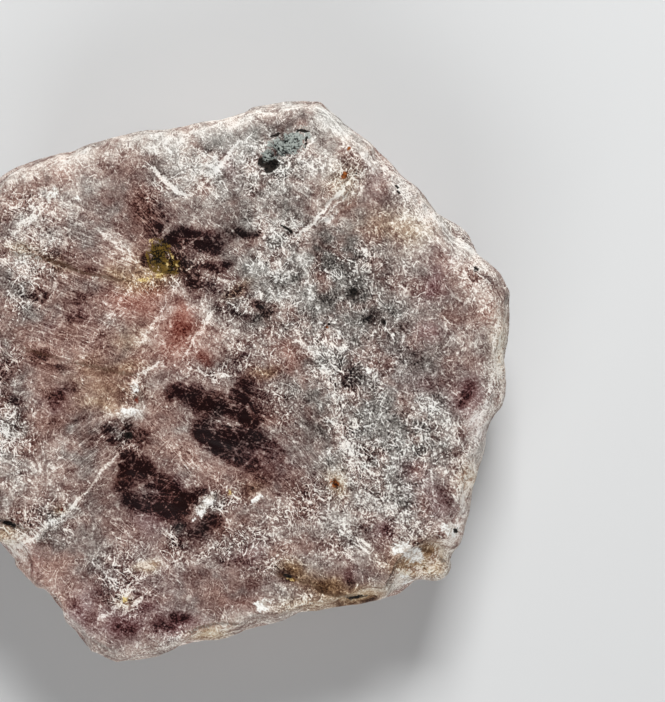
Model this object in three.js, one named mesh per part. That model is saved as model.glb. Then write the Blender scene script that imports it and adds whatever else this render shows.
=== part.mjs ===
// Ruby crystal: one tabular, six-sided crystal of corundum, with a rough etched face,
// growth steps, a chipped rim and ledged prism sides.
// Millimetres. +Z is the crystal's c axis, +X points to its right-hand corner, and the
// origin is the middle of the flat face that it rests on.
import * as THREE from "three";

// ---- Driving dimensions ----
const THICKNESS = 14; // resting face to the highest lumps of the main face
const FACE_LEVEL = 13.2; // the main face between its steps and lumps
const TAPER = 1.8; // the sides lean in by this much on their way down
const FOOT_INSET = 3.4; // the flat resting face ends this far inside the widest line
const RINGS = 28; // rings of the main face's triangular lattice, one about every 0.9 mm
const SEED = 7; // picks one crystal out of all those that the noise could give

// The widest line round the crystal, side by side, anticlockwise from the right. Each
// side ends where the next begins. Its bevel says how far inside that line the edge of
// the main face lies, and how far above it.
const SIDES = [
  {
    name: "upper right",
    bevel: { inset: 1.9, drop: 2.4 },
    points: [
      [26.2, 1.1], [25.7, 2.9], [24.5, 4.7], [23.7, 7.0], [22.0, 8.9],
      [20.9, 11.0], [20.1, 12.6], [18.3, 15.5], [16.7, 17.5], [15.3, 19.5],
    ],
  },
  {
    name: "top",
    bevel: { inset: 1.0, drop: 1.6 },
    points: [
      [14.5, 20.5], [11.8, 21.2], [9.3, 21.4], [7.3, 21.2], [4.6, 21.4],
      [2.3, 21.4], [-0.6, 21.9], [-7.2, 21.8], [-11.5, 21.6], [-13.5, 21.0],
    ],
  },
  {
    name: "upper left",
    bevel: { inset: 0.9, drop: 1.8 },
    points: [
      [-14.7, 20.1], [-16.3, 17.7], [-18.2, 14.6], [-19.5, 11.5],
      [-21.8, 7.7], [-23.8, 4.1], [-25.4, 1.2],
    ],
  },
  {
    name: "lower left",
    bevel: { inset: 0.7, drop: 1.6 },
    points: [
      [-26.2, -0.6], [-25.2, -2.8], [-23.4, -5.7], [-21.2, -9.5], [-20.2, -11.7],
      [-18.8, -13.9], [-18.1, -15.2], [-17.4, -17.0], [-16.3, -19.3],
    ],
  },
  {
    name: "bottom",
    bevel: { inset: 1.3, drop: 2.2 },
    points: [
      [-15.0, -20.9], [-14.0, -21.5], [-12.1, -21.7], [-10.4, -21.9], [-8.5, -21.8],
      [-6.7, -21.5], [-3.4, -21.8], [1.2, -21.5], [4.7, -21.5], [8.2, -21.9],
      [11.0, -21.8], [12.3, -21.0], [13.8, -21.1],
    ],
  },
  {
    name: "lower right",
    bevel: { inset: 1.8, drop: 2.6 },
    points: [
      [14.8, -20.8], [15.4, -19.7], [16.9, -18.7], [18.2, -16.5], [18.8, -15.0],
      [20.1, -12.9], [21.1, -10.8], [21.8, -9.5], [23.4, -8.2], [24.0, -6.6],
      [24.1, -5.3], [24.9, -3.5], [25.5, -1.5],
    ],
  },
];
const CORNER_BLEND = 0.15; // share of a side over which its bevel turns into the next one's
const BEVEL_MIDDLE = { inset: 0.4, drop: 0.4 }; // shares of the bevel, so that it bulges

// Growth steps of the main face. The face is higher on the side that `rises` points to
// in degrees, by `height`, along a line through `at` that reaches `reach` both ways.
const STEPS = [
  { at: [-14.2, -8.0], rises: 120, height: 0.6, reach: 6.4 }, // long fracture, outer part
  { at: [-8.2, -2.2], rises: 148, height: 0.7, reach: 2.2 }, // its bend near the middle
  { at: [-3.2, 3.1], rises: 120, height: 0.45, reach: 4.4 }, // its faint inner part
  { at: [9.4, -0.8], rises: 178, height: 0.35, reach: 10 }, // edge of the frosted field
  { at: [-10.0, 12.6], rises: 60, height: 0.35, reach: 4.6 }, // seam, upper left
  { at: [-8.8, 3.0], rises: 240, height: 0.3, reach: 2.6 }, // seam, middle
  { at: [13.4, 11.2], rises: 118, height: 0.45, reach: 2.2 }, // shelf below the notch
  { at: [-19.2, -8.0], rises: 62, height: 0.9, reach: 1.6 }, // broken flap, lower left
];
const STEP_HALF_WIDTH = 0.45; // the rise of a step, across it
const STEP_FADE = 3.5; // behind its edge, a step sinks back over about this distance
const STEP_END = 1.2; // a step dies out over about this distance at each end

// Terraces within two angled growth lines that meet in a corner and rise inwards.
const TERRACES = [
  { corner: [1.2, 15.6], rises: [120, 30], height: 0.5, fade: 9 },
  { corner: [9.8, 9.9], rises: [120, 43], height: 0.55, fade: 7 },
];

// Shallow hollows and low lumps of the main face: middle, radius, and how far they rise.
const LUMPS = [
  { at: [10.2, 17.3], radius: 2.4, rise: -0.35 }, // seat of the dark mineral grain
  { at: [-1.9, 10.7], radius: 1.8, rise: -0.35 }, // seat of the olive grain
  { at: [-9.6, -14.3], radius: 1.5, rise: -0.6 }, // tan pit
  { at: [-8.6, -3.4], radius: 1.0, rise: -0.6 }, // dark pit of the fracture
  { at: [-6.8, 1.0], radius: 1.3, rise: 0.5 }, // pale knob
  { at: [-7.9, -0.9], radius: 1.5, rise: 0.5 }, // pale shoulder beside it
  { at: [-3.2, -9.8], radius: 1.1, rise: 0.4 }, // white lump
  { at: [0.2, -3.6], radius: 5.2, rise: -0.35 }, // clear windows, which lie a little low
  { at: [-6.6, -7.6], radius: 4.6, rise: -0.35 },
  { at: [1.2, 12.4], radius: 3.4, rise: -0.25 },
];

// The corner facet at the upper left: the face slopes away beyond a straight ridge.
const CORNER_FACET = { at: [-11.8, 17.2], faces: 124, slope: 0.32 };

// Scoops broken out of the rim: the middle and radius of the ball that each one fits.
const SCOOPS = [
  { at: [14.4, -21.8, 14.6], radius: 4.5 }, // shell-shaped break, lower right corner
  { at: [11.8, -23.2, 12.9], radius: 3.2 },
  { at: [18.1, -19.9, 14.0], radius: 2.9 },
  { at: [-1.6, -23.0, 14.0], radius: 3.2 }, // ledges along the bottom
  { at: [2.2, -23.2, 13.9], radius: 3.0 },
  { at: [7.4, -23.4, 14.0], radius: 3.3 },
  { at: [-20.8, -11.2, 14.2], radius: 2.4 }, // below the broken flap
  { at: [-8.6, -24.2, 11.6], radius: 3.0 },
  { at: [24.6, 8.2, 12.8], radius: 3.4 }, // scallops of the upper right edge
  { at: [20.6, 15.4, 13.1], radius: 3.2 },
  { at: [18.0, 19.8, 12.6], radius: 3.0 },
  { at: [26.8, -4.6, 11.8], radius: 2.6 }, // dents of the other edges
  { at: [22.0, -13.4, 12.4], radius: 2.8 },
  { at: [-22.0, 10.8, 13.2], radius: 3.3 },
  { at: [-25.8, 3.6, 11.2], radius: 2.4 },
  { at: [5.8, 23.4, 12.8], radius: 2.6 },
];
const SMALL_SCOOPS = { count: 46, radius: [1.1, 2.3] };

// Growth ledges round the sides: how far down each one runs, as a share of the side, and
// its greatest depth. A ledge comes and goes along the rim, and turns into an overhang.
const LEDGES = [
  { down: 0.17, depth: 0.7 },
  { down: 0.38, depth: 1.0 },
  { down: 0.6, depth: 0.9 },
  { down: 0.8, depth: 0.9 },
];
const LEDGE_HALF_HEIGHT = 0.012; // share of the side that one ledge takes, up and down
const LEDGE_WANDER = 0.8; // how far a ledge strays up and down along the rim
const HEEL = { down: 0.94, inset: 0.9 }; // where the side turns in to the resting face

// Uneven growth, as smooth noise: how far it reaches, and the size of its lumps. Each
// has a pattern of its own, and each ledge has one more.
const SWELLS = { height: 0.26, size: 6, pattern: 1 }; // main face, broad
const GRAINS = { height: 0.12, size: 1.8, pattern: 2 }; // main face, fine
const BEVEL_LUMPS = { height: 0.25, size: 2, pattern: 3 };
const SIDE_LUMPS = { height: 0.32, size: 2.6, pattern: 4 };
const FOOT_LINE = { height: 0.8, size: 4, pattern: 5 }; // outline of the resting face
const LEDGE_DEPTHS = { height: 0.9, size: 7, pattern: 10 };
const LEDGE_HEIGHTS = { height: LEDGE_WANDER, size: 9, pattern: 20 };

// ---- Noise, the same on every run ----
function randomFrom(seed) {
  let state = seed;
  return () => {
    state = (state * 1664525 + 1013904223) % 4294967296;
    return state / 4294967296;
  };
}

function cornerValue(i, j, k, pattern) {
  const n = Math.sin(i * 127.1 + j * 311.7 + k * 74.7 + pattern * 53.3 + SEED) * 43758.5453;
  return (n - Math.floor(n)) * 2 - 1;
}

// Smooth noise at a point, between -height and height. `layer` picks a ledge's pattern.
function uneven({ height, size, pattern }, x, y, z = 0, layer = 0) {
  const { lerp } = THREE.MathUtils;
  const scaled = [x, y, z].map((value) => value / size);
  const [i, j, k] = scaled.map(Math.floor);
  const [u, v, w] = [scaled[0] - i, scaled[1] - j, scaled[2] - k].map((t) => t * t * (3 - 2 * t));
  const value = (di, dj, dk) => cornerValue(i + di, j + dj, k + dk, pattern + layer);
  const alongX = (dj, dk) => lerp(value(0, dj, dk), value(1, dj, dk), u);
  const alongY = (dk) => lerp(alongX(0, dk), alongX(1, dk), v);
  return height * lerp(alongY(0), alongY(1), w);
}

// ---- Outline ----
const sideCurves = SIDES.map(({ points }, side) => {
  const nextCorner = SIDES[(side + 1) % SIDES.length].points[0];
  const line = [...points, nextCorner].map(([x, y]) => new THREE.Vector2(x, y));
  return new THREE.SplineCurve(line);
});

// The place on the widest line at a share of the way along a side, and the bevel there,
// which turns smoothly into the neighbour's at each corner.
function rimAt(side, share) {
  const towards = share < 0.5 ? SIDES.length - 1 : 1;
  const toCorner = Math.min(share, 1 - share);
  const blend = 0.5 * Math.max(0, 1 - toCorner / CORNER_BLEND);
  const own = SIDES[side].bevel;
  const other = SIDES[(side + towards) % SIDES.length].bevel;
  return {
    place: sideCurves[side].getPointAt(share),
    inset: THREE.MathUtils.lerp(own.inset, other.inset, blend),
    drop: THREE.MathUtils.lerp(own.drop, other.drop, blend),
  };
}

function pulledIn(place, distance) {
  return place.clone().multiplyScalar(1 - distance / place.length());
}

// ---- Relief of the main face ----
function heading(degrees) {
  const angle = THREE.MathUtils.degToRad(degrees);
  return new THREE.Vector2(Math.cos(angle), Math.sin(angle));
}

function rise(value, halfWidth) {
  return THREE.MathUtils.smoothstep(value, -halfWidth, halfWidth);
}

function stepHeight(point, { at, rises, height, reach }) {
  const from = point.clone().sub(new THREE.Vector2(...at));
  const across = from.dot(heading(rises));
  const along = Math.abs(from.cross(heading(rises)));
  const sink = Math.exp(-Math.max(0, across) / STEP_FADE);
  return height * sink * rise(across, STEP_HALF_WIDTH) * (1 - rise(along - reach, STEP_END));
}

function terraceHeight(point, { corner, rises, height, fade }) {
  const from = point.clone().sub(new THREE.Vector2(...corner));
  const inside = Math.min(...rises.map((degrees) => from.dot(heading(degrees))));
  const sink = Math.exp(-((from.length() / fade) ** 2));
  return height * sink * rise(inside, STEP_HALF_WIDTH);
}

function lumpHeight(point, { at, radius, rise: height }) {
  const away = point.distanceTo(new THREE.Vector2(...at)) / radius;
  return away < 1 ? height * (1 - away * away) ** 2 : 0;
}

function faceHeight(x, y) {
  const point = new THREE.Vector2(x, y);
  const total = (list, part) => list.reduce((sum, item) => sum + part(point, item), 0);
  const relief =
    total(STEPS, stepHeight) +
    total(TERRACES, terraceHeight) +
    total(LUMPS, lumpHeight) +
    uneven(SWELLS, x, y) +
    uneven(GRAINS, x, y);
  const ridge = new THREE.Vector2(...CORNER_FACET.at);
  const beyond = Math.max(0, point.sub(ridge).dot(heading(CORNER_FACET.faces)));
  return Math.min(THICKNESS, FACE_LEVEL + relief - CORNER_FACET.slope * beyond);
}

// ---- Breaks of the rim ----
function smallScoops() {
  const random = randomFrom(SEED);
  const between = (low, high) => low + (high - low) * random();
  return Array.from({ length: SMALL_SCOOPS.count }, (_, n) => {
    const turn = ((n + between(0, 0.7)) * SIDES.length) / SMALL_SCOOPS.count;
    const { place, drop } = rimAt(Math.floor(turn), turn % 1);
    const radius = between(...SMALL_SCOOPS.radius);
    const centre = pulledIn(place, -radius * between(0.55, 0.8));
    const onTheSide = n % 3 === 0;
    const z = onTheSide ? between(1, FACE_LEVEL - 4) : FACE_LEVEL - between(0, drop);
    return { at: [centre.x, centre.y, z], radius };
  });
}
const scoops = [...SCOOPS, ...smallScoops()].map(
  ({ at, radius }) => new THREE.Sphere(new THREE.Vector3(...at), radius),
);

// A point inside a scoop's ball is pushed out to the ball's surface, into the stone.
function scooped(point) {
  for (const { center, radius } of scoops) {
    const away = point.clone().sub(center);
    if (away.length() < radius) {
      point.copy(center).add(away.setLength(radius));
    }
  }
  return point;
}

// ---- The solid, ring by ring ----
function facePoint(side, share, ring) {
  const { place, inset } = rimAt(side, share);
  const { x, y } = pulledIn(place, inset).multiplyScalar(ring / RINGS);
  return scooped(new THREE.Vector3(x, y, faceHeight(x, y)));
}

function bevelPoint(side, share) {
  const { place, inset, drop } = rimAt(side, share);
  const lump = uneven(BEVEL_LUMPS, place.x, place.y);
  const { x, y } = pulledIn(place, inset * BEVEL_MIDDLE.inset + lump);
  return scooped(new THREE.Vector3(x, y, faceHeight(x, y) - drop * BEVEL_MIDDLE.drop));
}

// A point of the sides: `down` is its share of the way to the resting face, and
// `ledgesAbove` counts the ledges that the side has passed by then.
function sidePoint(side, share, { down, ledgesAbove, inset = 0 }) {
  const { place, drop } = rimAt(side, share);
  const wander = uneven(LEDGE_HEIGHTS, place.x, place.y, 0, ledgesAbove);
  const edge = faceHeight(place.x, place.y) - drop;
  const z = (edge + (down > 0 ? wander : 0)) * (1 - down);
  const cuts = LEDGES.slice(0, ledgesAbove).map(({ depth }, layer) => {
    return depth * (0.2 + uneven(LEDGE_DEPTHS, place.x, place.y, 0, layer));
  });
  const cut = cuts.reduce((sum, one) => sum + one, TAPER * down);
  const lump = down > 0 ? uneven(SIDE_LUMPS, place.x, place.y, z * 1.8) : 0;
  const { x, y } = pulledIn(place, Math.max(0, cut + lump) + inset);
  return scooped(new THREE.Vector3(x, y, z));
}

function footPoint(side, share) {
  const { place } = rimAt(side, share);
  const { x, y } = pulledIn(place, FOOT_INSET + uneven(FOOT_LINE, place.x, place.y));
  return new THREE.Vector3(x, y, 0);
}

// The rows of the sides: the widest line, then two for each ledge, one more between
// ledges, and the heel.
function sideRows() {
  const rows = [{ down: 0, ledgesAbove: 0 }];
  LEDGES.forEach(({ down }, index) => {
    if (index > 1) {
      rows.push({ down: (LEDGES[index - 1].down + down) / 2, ledgesAbove: index });
    }
    rows.push({ down: down - LEDGE_HALF_HEIGHT, ledgesAbove: index });
    rows.push({ down: down + LEDGE_HALF_HEIGHT, ledgesAbove: index + 1 });
  });
  rows.push({ ...HEEL, ledgesAbove: LEDGES.length });
  return rows;
}

// Main face: ring r of a triangular lattice holds r points on each side of the crystal.
function addFace(points, triangles) {
  const sides = SIDES.length;
  const ringStart = (ring) => (ring === 0 ? 0 : 1 + (sides * ring * (ring - 1)) / 2);
  const latticePoint = (ring, side, step) =>
    ring === 0 ? 0 : ringStart(ring) + ((side * ring + step) % (sides * ring));
  points.push(new THREE.Vector3(0, 0, faceHeight(0, 0)));
  for (let ring = 1; ring <= RINGS; ring++) {
    for (let n = 0; n < sides * ring; n++) {
      points.push(facePoint(Math.floor(n / ring), (n % ring) / ring, ring));
      const [side, step] = [Math.floor(n / ring), n % ring];
      const here = latticePoint(ring, side, step);
      const next = latticePoint(ring, side, step + 1);
      const inner = latticePoint(ring - 1, side, step);
      triangles.push(here, next, inner);
      if (step < ring - 1) {
        triangles.push(next, latticePoint(ring - 1, side, step + 1), inner);
      }
    }
  }
  return ringStart(RINGS);
}

// Bevel, sides and foot: each full ring of points is joined to the one above it.
function addSides(points, triangles, rim) {
  const around = SIDES.length * RINGS;
  const makers = [
    bevelPoint,
    ...sideRows().map((row) => (side, share) => sidePoint(side, share, row)),
    footPoint,
  ];
  let above = rim;
  for (const makePoint of makers) {
    const below = points.length;
    for (let n = 0; n < around; n++) {
      const next = (n + 1) % around;
      points.push(makePoint(Math.floor(n / RINGS), (n % RINGS) / RINGS));
      triangles.push(above + n, below + n, above + next);
      triangles.push(above + next, below + n, below + next);
    }
    above = below;
  }
  return above;
}

// Resting face: one flat polygon.
function addFoot(points, triangles, rim) {
  const outline = points.slice(rim).map(({ x, y }) => new THREE.Vector2(x, y));
  for (const [a, b, c] of THREE.ShapeUtils.triangulateShape(outline, [])) {
    triangles.push(rim + a, rim + c, rim + b);
  }
}

function crystalGeometry() {
  const points = [];
  const triangles = [];
  const faceRim = addFace(points, triangles);
  const footRim = addSides(points, triangles, faceRim);
  addFoot(points, triangles, footRim);
  const geometry = new THREE.BufferGeometry().setFromPoints(points);
  geometry.setIndex(triangles);
  geometry.computeVertexNormals();
  return geometry;
}

// ---- Material and scene ----
const rubyRough = new THREE.MeshStandardMaterial({
  name: "ruby_rough",
  color: "#8f7076",
  roughness: 0.55,
  metalness: 0,
});

const crystal = new THREE.Mesh(crystalGeometry(), rubyRough);
crystal.name = "ruby_crystal";

const part = new THREE.Group();
part.add(crystal);

export default part;
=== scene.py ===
"""A rough ruby crystal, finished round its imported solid, lying on a plain studio floor.

The crystal is one tabular piece of corundum. Its main face is etched and frosted white,
with clear dark windows, pale healed fractures, brown seams and a few grown-in grains of
other minerals. Lengths in the lists are millimetres in the crystal's own frame: +Z along
the c axis, +X to the right-hand corner. Headings are degrees anticlockwise from +X.
"""

import math

import bmesh
import bpy
import numpy as np
from bpy.props import FloatProperty, FloatVectorProperty, PointerProperty
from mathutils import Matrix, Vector


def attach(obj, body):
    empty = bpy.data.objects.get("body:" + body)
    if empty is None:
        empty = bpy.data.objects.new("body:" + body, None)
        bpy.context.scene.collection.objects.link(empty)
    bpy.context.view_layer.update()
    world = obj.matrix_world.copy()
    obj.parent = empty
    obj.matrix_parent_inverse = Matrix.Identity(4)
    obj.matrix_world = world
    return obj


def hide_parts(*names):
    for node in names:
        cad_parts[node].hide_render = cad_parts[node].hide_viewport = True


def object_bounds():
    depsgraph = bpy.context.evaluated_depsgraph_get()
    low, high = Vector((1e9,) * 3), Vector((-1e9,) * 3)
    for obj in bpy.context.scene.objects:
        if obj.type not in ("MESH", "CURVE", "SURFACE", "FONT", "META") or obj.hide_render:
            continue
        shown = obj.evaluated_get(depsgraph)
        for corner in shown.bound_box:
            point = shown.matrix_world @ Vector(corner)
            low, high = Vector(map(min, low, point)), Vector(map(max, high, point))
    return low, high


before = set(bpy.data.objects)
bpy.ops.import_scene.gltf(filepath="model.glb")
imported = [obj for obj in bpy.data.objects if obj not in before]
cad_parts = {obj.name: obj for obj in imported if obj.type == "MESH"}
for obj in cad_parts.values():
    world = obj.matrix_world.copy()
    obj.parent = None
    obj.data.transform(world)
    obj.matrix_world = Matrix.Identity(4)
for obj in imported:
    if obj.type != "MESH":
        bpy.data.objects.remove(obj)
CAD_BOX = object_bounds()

bl_info = {
    "name": "Ruby Crystal",
    "version": (1, 0, 0),
    "blender": (4, 5, 0),
    "location": "View3D > Sidebar > Ruby",
    "description": "Builds a rough tabular ruby crystal and a plain studio stage",
    "category": "Object",
}

MM = 0.001  # a millimetre in metres
CRYSTAL_NODE = "ruby_crystal"
SEED = 11  # another number gives another crystal's fine relief

# ---- What lies where on the main face -------------------------------------------------
# Each patch is an oval that fades out: middle x and y, half length, half width, heading
# of the length, and how strong it is.

CLEAR_WINDOWS = [
    # the large middle window
    (-3.4, -0.7, 1.5, 1.0, -25, 0.7), (-1.6, -1.1, 1.9, 0.9, -20, 0.6),
    (-0.5, -2.4, 2.5, 1.15, -24, 1.0), (2.1, -1.7, 1.4, 1.3, 0, 0.75),
    (1.9, -3.6, 0.8, 1.8, 10, 0.9), (3.3, -3.2, 1.2, 1.3, 0, 0.5),
    (-1.0, -4.9, 2.3, 1.15, -27, 1.0), (0.8, -5.4, 1.2, 0.8, -20, 0.8),
    (2.2, -5.7, 1.6, 1.0, -30, 0.6), (-2.2, -4.0, 0.9, 0.9, 0, 0.7),
    (-0.4, -6.6, 2.2, 0.8, -33, 0.45), (2.8, -6.9, 1.6, 0.8, -30, 0.4),
    # its paler tail
    (1.2, -7.9, 2.4, 1.0, -33, 0.4), (4.0, -8.2, 2.4, 1.1, -30, 0.35),
    (0.2, -9.4, 1.6, 0.9, -20, 0.4), (3.4, -9.9, 2.2, 0.8, -30, 0.35),
    (0.4, -10.2, 1.6, 0.6, 0, 0.3),
    # the window to its left
    (-8.6, -5.5, 1.4, 1.2, -20, 1.0), (-9.6, -6.8, 1.2, 1.0, 0, 0.75),
    (-7.2, -6.9, 1.7, 0.9, -40, 0.7), (-5.9, -8.2, 1.4, 1.2, -30, 0.75),
    (-9.4, -8.4, 1.1, 0.7, -40, 0.6), (-7.6, -9.0, 1.3, 0.8, -30, 0.65),
    (-7.0, -10.1, 1.3, 0.7, -20, 0.75), (-5.3, -9.9, 1.1, 0.9, 0, 0.9),
    (-3.6, -9.4, 0.8, 0.55, 0, 0.85), (-5.6, -11.6, 1.3, 0.6, -10, 0.6),
    (-3.2, -11.6, 1.0, 0.9, -35, 0.75), (-7.4, -3.4, 1.2, 0.8, 0, 0.7),
    (-8.3, -2.5, 0.5, 0.7, -40, 0.9), (-9.4, -1.9, 1.2, 0.5, 20, 0.8),
    (-9.7, -3.2, 0.9, 0.45, 10, 0.7), (-11.9, -0.7, 0.9, 0.4, 15, 0.5),
    (-11.6, -4.6, 0.6, 0.4, 20, 0.4), (-6.6, -13.4, 1.0, 0.8, 0, 0.3),
    (-3.4, -12.9, 2.0, 0.8, -20, 0.45), (-5.4, -13.0, 1.4, 0.9, 0, 0.45),
    (-11.4, -2.6, 2.4, 0.9, 15, 0.35), (-8.7, -8.4, 1.7, 1.0, -20, 0.5),
    (-7.6, -10.6, 3.0, 1.1, -25, 0.22),
    # the windows above the middle
    (-0.3, 12.1, 1.0, 0.7, 0, 1.0), (1.2, 12.3, 1.2, 0.7, -20, 1.0),
    (2.2, 11.3, 1.2, 0.9, -25, 1.0), (4.8, 11.4, 1.2, 0.5, -5, 0.85),
    (6.4, 11.1, 0.6, 0.3, -10, 0.8), (-1.6, 13.3, 0.5, 0.55, 0, 1.0),
    (-1.6, 16.2, 0.35, 0.35, 0, 0.5), (-3.4, 11.2, 0.9, 0.5, -55, 0.95),
    (1.8, 9.2, 1.2, 0.5, -20, 0.95), (3.6, 9.2, 0.6, 0.4, 0, 0.6), (0.1, 8.8, 0.7, 1.8, 5, 0.75),
    (1.6, 7.4, 1.0, 0.5, -10, 0.6), (-0.8, 10.4, 0.8, 1.2, 0, 0.6),
    (-2.4, 15.2, 1.5, 3.2, 12, 0.5), (-0.6, 14.6, 1.2, 1.4, 0, 0.4),
    (1.6, 10.4, 3.2, 2.6, -20, 0.3),
    # the frosted middle's small windows
    (3.4, 6.6, 1.4, 0.4, -5, 0.7), (1.7, 5.7, 0.6, 0.4, 0, 0.7), (5.1, 5.2, 0.55, 0.4, -20, 1.0),
    (5.2, 4.3, 1.5, 0.5, 0, 0.7), (3.3, 4.7, 0.8, 0.4, -30, 0.6), (-2.0, 4.6, 1.5, 1.2, 0, 0.42),
    (-0.5, 1.8, 1.2, 0.7, 0, 0.45), (2.2, 1.0, 1.4, 0.6, 0, 0.55), (-8.4, 5.9, 0.9, 0.6, 0, 0.55),
    (-8.6, 4.6, 1.0, 0.6, 0, 0.45), (-9.9, 8.0, 1.0, 0.9, 0, 0.55),
    (-9.2, 9.2, 1.2, 0.7, -20, 0.5), (-11.2, 9.4, 1.0, 0.6, 0, 0.4),
    (-12.3, 10.6, 0.65, 0.6, 0, 1.0), (-13.4, 10.7, 0.9, 0.5, 0, 0.55),
    (-7.9, 11.6, 1.4, 0.6, -25, 0.5), (-10.4, 12.8, 2.2, 0.6, -25, 0.45),
    (-14.2, 5.5, 1.0, 0.8, 0, 0.5), (-12.6, 4.2, 1.6, 0.6, -25, 0.45),
    (5.4, -0.6, 1.6, 0.8, 0, 0.35),
    # the left-hand edge
    (-13.6, 1.6, 1.0, 1.0, 0, 0.6), (-12.0, 1.9, 0.8, 0.6, 0, 0.6),
    (-16.3, 2.5, 1.0, 0.6, 0, 0.45), (-17.2, 4.6, 0.7, 1.2, 0, 0.6),
    (-16.7, 1.2, 1.0, 0.6, 0, 0.5), (-14.4, -0.3, 1.2, 0.5, 0, 0.35),
    (-17.9, -2.8, 0.7, 0.6, 0, 0.35), (-19.0, -6.4, 0.7, 1.0, 0, 0.35),
    (-15.6, -7.4, 0.6, 0.5, 0, 0.5), (-17.4, -10.2, 0.9, 0.5, 0, 0.4),
    (-17.3, 2.6, 1.2, 0.8, 0, 0.4),
    # the lower edge
    (-16.5, -15.7, 0.7, 1.7, 15, 0.5), (-12.6, -18.4, 1.2, 1.2, -40, 0.5),
    (-10.5, -17.6, 0.8, 0.8, 0, 0.45), (-8.6, -19.3, 1.8, 0.7, -10, 0.6),
    (-13.4, -15.7, 1.2, 0.6, 0, 0.45), (-18.1, -13.2, 0.7, 1.0, 30, 0.4),
    (-2.4, -15.4, 2.4, 0.7, -20, 0.5), (1.8, -18.0, 0.9, 0.8, 0, 0.5),
    (3.6, -18.9, 1.4, 0.8, -30, 0.3), (5.0, -19.8, 1.4, 0.7, -30, 0.35),
    (6.9, -19.5, 0.6, 0.9, 0, 0.4), (5.4, -21.2, 1.6, 0.4, -15, 0.6),
    (8.0, -21.5, 1.4, 0.4, 0, 0.8), (4.9, -12.4, 1.4, 0.7, -30, 0.4),
    (-5.6, -16.0, 1.6, 0.6, -20, 0.35), (-15.2, -17.6, 1.2, 0.9, 0, 0.4),
    (-1.4, -17.6, 1.8, 0.8, 0, 0.3),
    # the frosted right side's grey windows
    (11.5, 7.7, 1.4, 1.7, 0, 0.45), (13.3, 6.3, 0.9, 1.0, 0, 0.5),
    (13.3, 3.9, 1.4, 0.9, -30, 0.42), (14.2, 1.6, 0.8, 0.7, 0, 0.65),
    (10.9, 4.2, 0.9, 1.4, 0, 0.4), (16.4, 0.2, 1.2, 0.7, 0, 0.55), (14.6, -0.4, 0.9, 0.5, 0, 0.4),
    (11.2, -3.0, 0.8, 1.7, 0, 0.55), (7.2, -5.2, 0.9, 2.2, 20, 0.35),
    (16.9, -2.7, 1.2, 0.8, 0, 0.45), (17.1, -4.8, 1.2, 0.9, 0, 0.45),
    (19.9, 3.0, 0.8, 0.9, 0, 0.42), (20.3, -6.6, 1.5, 0.8, 25, 0.6),
    (18.6, -5.2, 1.2, 0.7, 0, 0.4), (20.5, 0.2, 1.0, 0.6, 0, 0.35),
    (10.8, -16.4, 0.8, 0.9, 0, 0.6), (13.7, -11.6, 0.9, 0.7, 0, 0.45),
    (11.8, -9.3, 1.0, 0.7, 0, 0.4), (16.5, -14.6, 0.7, 1.2, 0, 0.45),
    (14.9, -6.9, 1.0, 0.6, 0, 0.4),
    # under the top edge
    (-9.8, 17.2, 0.8, 0.5, 0, 0.3),
]

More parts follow.
